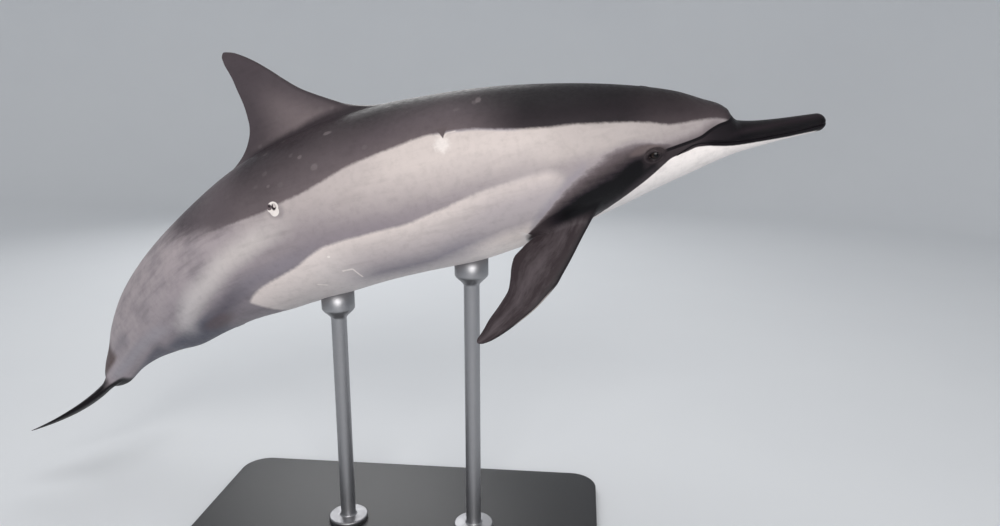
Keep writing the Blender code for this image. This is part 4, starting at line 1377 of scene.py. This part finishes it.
def add_skin():
    """The skin with its openings and fins, its chart, and the marks that its paint reads."""
    skin = Skin()
    add_eye_openings(skin)
    add_blowhole(skin)
    add_bite(skin)
    add_dorsal(skin)
    add_flippers(skin)
    add_flukes(skin)
    add_slits(skin)
    skin.close()
    points = skin.all_points()
    fins = np.concatenate(skin.fin)
    # points inside the opened blocks belong to no face and are left out
    used = np.zeros(len(points), bool)
    used[np.concatenate([np.array(f) for f in skin.faces])] = True
    new_number = np.cumsum(used) - 1
    faces = [tuple(new_number[list(f)]) for f in skin.faces]
    points, fins = points[used], fins[used]
    obj = mesh_object("dolphin_skin", pose(points), faces, SkinPaint().finish(), skin.charts)
    turn_outwards(obj.data)
    store(obj.data, "body_at", points, "FLOAT_VECTOR", "vector")
    for name, values in signed_marks(points).items():
        store(obj.data, "mark_" + name, values)
    for kind, name in ((DORSAL_KIND, "dorsal"), (FLIPPER_KIND, "flipper")):
        store(obj.data, "mark_" + name, np.where(fins[:, 0] == kind, fins[:, 1], 0.0))
    for column, name in ((2, "out"), (3, "chord"), (4, "face")):
        store(obj.data, "mark_" + name, fins[:, column])
    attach(obj, "root")
    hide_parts(*[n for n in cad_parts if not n.startswith(("stand_", "eye_"))])


# ---- eyes ----
def eye_paint():
    """A dark wet eye: pupil, brown iris and dark white."""
    p = Paint("eye_surface")
    across = p.attribute("eye_across")
    grain = p.noise(p.attribute("eye_at", "Vector"), 14.0, 4.0)
    iris = p.mix(grain, linear(26, 20, 19), linear(46, 35, 31))
    colour = p.lay(iris, (7, 7, 9), p.rise(across, 0.34, 0.28))
    colour = p.lay(colour, (26, 22, 24), p.rise(across, 0.50, 0.56))
    p.surface({"Base Color": colour, "Roughness": 0.22, "Specular IOR Level": 0.15,
               "Coat Weight": 0.15, "Coat Roughness": 0.04})
    return p.material


AXIS_OUT = 1.0  # each eye looks through the point this far out from its centre in body coordinates
PUPIL_STRETCH, CORNEA_SWELL, CORNEA_WIDTH = 1.25, 0.035, 0.55


def add_eyes():
    """Balls with a swollen cornea. Their faces are sorted, since Blender's order varies."""
    material = eye_paint()
    for name, side in (("eye_left", 1), ("eye_right", -1)):
        low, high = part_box(name)
        centre = np.array((low + high) / 2)
        axis = pose([(EYE_STATION, side * (EYE_SIDE + AXIS_OUT), EYE_HEIGHT)])[0] - centre
        turn = Vector(axis).to_track_quat("Z", "Y")
        work = bmesh.new()
        bmesh.ops.create_uvsphere(work, u_segments=64, v_segments=40, radius=1.0)
        shape = np.array([v.co for v in work.verts])
        faces = sorted(tuple(v.index for v in f.verts) for f in work.faces)
        work.free()
        off = np.linalg.norm(shape[:, :2], axis=1)
        front = shape[:, 2] > 0
        across = np.where(front, np.sqrt(shape[:, 0] ** 2 + (PUPIL_STRETCH * shape[:, 1]) ** 2), 2.0)
        swell = 1 + CORNEA_SWELL * np.exp(-((off / CORNEA_WIDTH) ** 4)) * front
        spun = np.array([turn @ Vector(q) for q in shape * swell[:, None]])
        obj = mesh_object(name + "_ball", centre + spun * EYEBALL_RADIUS, faces, material)
        store(obj.data, "eye_across", across)
        store(obj.data, "eye_at", shape, "FLOAT_VECTOR", "vector")
        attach(obj, "root")
        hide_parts(name)


# ---- stand, its lengths in metres ----
BASE_LENGTH, BASE_WIDTH, BASE_HEIGHT, BASE_CORNER, BASE_BEVEL = 0.88, 0.48, 0.018, 0.060, 0.004
ROD_RADIUS, FOOT_RADIUS, FOOT_HEIGHT, FILLET, FOOT_CHAMFER = 0.016, 0.042, 0.010, 0.004, 0.003
SADDLE_RADIUS, SADDLE_HEIGHT, SADDLE_FLARE = 0.034, 0.050, 0.024
ROD_SIDES = 96
ROD_STATIONS = {"stand_rod_front": 38.0, "stand_rod_rear": 54.0}


def arc(middle_r, middle_z, radius, start, end, count=5):
    """Points (radius from the axis, height) on an arc between two angles in degrees."""
    turns = np.radians(np.linspace(start, end, count + 1))
    return [(middle_r + radius * math.cos(t), middle_z + radius * math.sin(t)) for t in turns]


def circle(x, y, radius, height, count):
    """A level ring of points round an axis at x, y."""
    turns = 2 * math.pi * np.arange(count) / count
    return [(x + radius * math.cos(t), y + radius * math.sin(t), height) for t in turns]


def ring_faces(rings, count):
    """Faces between stacked rings of count points each."""
    return [(i * count + k, i * count + (k + 1) % count,
             (i + 1) * count + (k + 1) % count, (i + 1) * count + k)
            for i in range(rings - 1) for k in range(count)]


def stacked_rings(name, rings, material):
    """A closed body from rings of equal count, the first and last closed flat."""
    count = len(rings[0])
    points = [q for ring in rings for q in ring]
    faces = ring_faces(len(rings), count)
    faces += [tuple(range(count)), tuple(range(len(points) - count, len(points)))]
    obj = mesh_object(name, points, faces, material)
    turn_outwards(obj.data)
    return obj


def add_rod(node, material):
    """A turned rod: a foot with a rounded edge, a shaft, and a flared head that meets the belly."""
    low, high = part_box(node)
    x, y = (low[0] + high[0]) / 2, (low[1] + high[1]) / 2
    station = ROD_STATIONS[node]
    belly = pose([(station, 0, float(BOTTOM(station)))])[0][2]
    foot, saddle = BASE_HEIGHT, belly - SADDLE_HEIGHT
    edge = FOOT_CHAMFER
    profile = [(FOOT_RADIUS, foot)]
    profile += arc(FOOT_RADIUS - edge, foot + FOOT_HEIGHT - edge, edge, 0, 90)
    profile += arc(ROD_RADIUS + FILLET, foot + FOOT_HEIGHT + FILLET, FILLET, 270, 180)
    flare = np.linspace(0, 1, 13)
    profile += [(ROD_RADIUS + (SADDLE_RADIUS - ROD_RADIUS) * float(ease(t)), saddle + SADDLE_FLARE * t)
                for t in flare]
    profile.append((SADDLE_RADIUS, float(high[2])))
    rings = [circle(x, y, r, z, ROD_SIDES) for r, z in profile]
    obj = stacked_rings(node + "_turned", rings, material)
    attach(obj, "root")
    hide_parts(node)


def rounded_ring(inset, z):
    """A rectangle with round corners, drawn in by the inset."""
    ring = []
    for quarter, (sx, sy) in enumerate(((1, 1), (-1, 1), (-1, -1), (1, -1))):
        middle = (sx * (BASE_LENGTH / 2 - BASE_CORNER), sy * (BASE_WIDTH / 2 - BASE_CORNER))
        for x, y in arc(*middle, BASE_CORNER - inset, 90 * quarter, 90 * quarter + 90, 16):
            ring.append((x, y, z))
    return ring


def add_base(material):
    low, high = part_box("stand_base")
    shift_x, shift_y = (low[0] + high[0]) / 2, (low[1] + high[1]) / 2
    bevel = arc(BASE_CORNER - BASE_BEVEL, high[2] - BASE_BEVEL, BASE_BEVEL, 0, 90)
    profile = [(0.0, low[2])] + [(BASE_CORNER - r, z) for r, z in bevel]
    rings = [[(x + shift_x, y + shift_y, z) for x, y, z in rounded_ring(inset, z)]
             for inset, z in profile]
    obj = stacked_rings("stand_base_slab", rings, material)
    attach(obj, "root")
    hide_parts("stand_base")


def base_paint():
    """Dark powder-coated steel."""
    p = Paint("base_paint")
    speckle = p.noise(p.object_place(), 900.0, 2.0)
    p.surface({"Base Color": p.mix(speckle, linear(34, 34, 36), linear(50, 50, 53)),
               "Roughness": p.rise(speckle, 0.3, 0.7, 0.36, 0.5)})
    p.bump(speckle, 0.0003, 0.4)
    return p.material


def rod_paint():
    """Steel brushed round the rods."""
    p = Paint("rod_steel")
    brushed = p.noise(p.object_place(), 60.0, 4.0, stretch=(1, 1, 60))
    p.surface({"Base Color": p.mix(brushed, linear(150, 150, 153), linear(178, 178, 181)),
               "Roughness": p.rise(brushed, 0.3, 0.7, 0.38, 0.52), "Metallic": 1.0})
    p.bump(brushed, 0.0002, 0.3)
    return p.material


def add_stand():
    add_base(base_paint())
    steel = rod_paint()
    for node in ROD_STATIONS:
        add_rod(node, steel)


# ---- room, light and camera, in metres ----
ROOM_FLAT, ROOM_CURVE, ROOM_HEIGHT, ROOM_SIDES = 4.6, 1.6, 4.2, 96
FLOOR_GAP = 0.0005  # the floor lies this far under the stand


def add_room():
    """A round pale floor whose rim curves up far behind everything."""
    profile = [(0.001, 0.0), (1.5, 0.0)] + arc(ROOM_FLAT, ROOM_CURVE, ROOM_CURVE, -90, 0, 16)
    profile.append((ROOM_FLAT + ROOM_CURVE, ROOM_HEIGHT))
    points = [q for r, z in profile for q in circle(0, 0, r, z - FLOOR_GAP, ROOM_SIDES)]
    p = Paint("floor")
    cloud = p.noise(p.object_place(), 1.5, 4.0)
    p.surface({"Base Color": p.mix(cloud, linear(226, 229, 233), linear(231, 234, 237)),
               "Roughness": 0.8})
    mesh_object("floor", points, ring_faces(len(profile), ROOM_SIDES), p.material)


LIGHTS_AIM = Vector((0, 0, 0.7))
DAYLIGHT, DAYLIGHT_STRENGTH = (0.97, 0.98, 1.0, 1), 0.36


def add_light(name, place, size, power, colour=(1, 1, 1), spread=180):
    """A round soft light, its size in metres, power in watts and spread in degrees."""
    light = bpy.data.lights.new(name, "AREA")
    light.shape = "DISK"
    light.size = size
    light.energy = power
    light.color = colour
    light.spread = math.radians(spread)
    obj = bpy.data.objects.new(name, light)
    obj.location = place
    obj.rotation_euler = (LIGHTS_AIM - Vector(place)).to_track_quat("-Z", "Y").to_euler()
    bpy.context.scene.collection.objects.link(obj)


def add_lights():
    add_light("key", (0.9, -4.2, 2.8), 3.0, 69, (1, 0.975, 0.95), 120)
    add_light("overhead", (-0.4, 0.3, 4.0), 2.6, 20)
    add_light("rear", (-1.2, 3.4, 2.4), 2.4, 40)
    world = bpy.data.worlds.new("soft_daylight")
    world.use_nodes = True
    background = world.node_tree.nodes["Background"]
    background.inputs["Color"].default_value = DAYLIGHT
    background.inputs["Strength"].default_value = DAYLIGHT_STRENGTH
    bpy.context.scene.world = world


CAMERA_AZIMUTH, CAMERA_ELEVATION, CAMERA_DISTANCE = math.radians(6), math.radians(13), 1.5
CAMERA_RIGHT, CAMERA_UP = 0.125, -0.124  # how far it is moved sideways and up from looking at ANCHOR
CAMERA_LENS, CAMERA_SENSOR = 27.36, 36  # millimetres


def add_camera():
    a, e = CAMERA_AZIMUTH, CAMERA_ELEVATION
    back = Vector((math.sin(a) * math.cos(e), -math.cos(a) * math.cos(e), math.sin(e)))
    right = Vector((math.cos(a), math.sin(a), 0))
    up = back.cross(right)
    data = bpy.data.cameras.new("camera")
    data.lens = CAMERA_LENS
    data.sensor_width = CAMERA_SENSOR
    camera = bpy.data.objects.new("camera", data)
    camera.location = Vector(ANCHOR) + CAMERA_RIGHT * right + CAMERA_UP * up + CAMERA_DISTANCE * back
    camera.rotation_euler = (-back).to_track_quat("-Z", "Y").to_euler()
    bpy.context.scene.collection.objects.link(camera)
    bpy.context.scene.camera = camera


bpy.context.scene.view_settings.view_transform = "Standard"
add_camera()
add_skin()
add_eyes()
add_stand()
add_room()
add_lights()
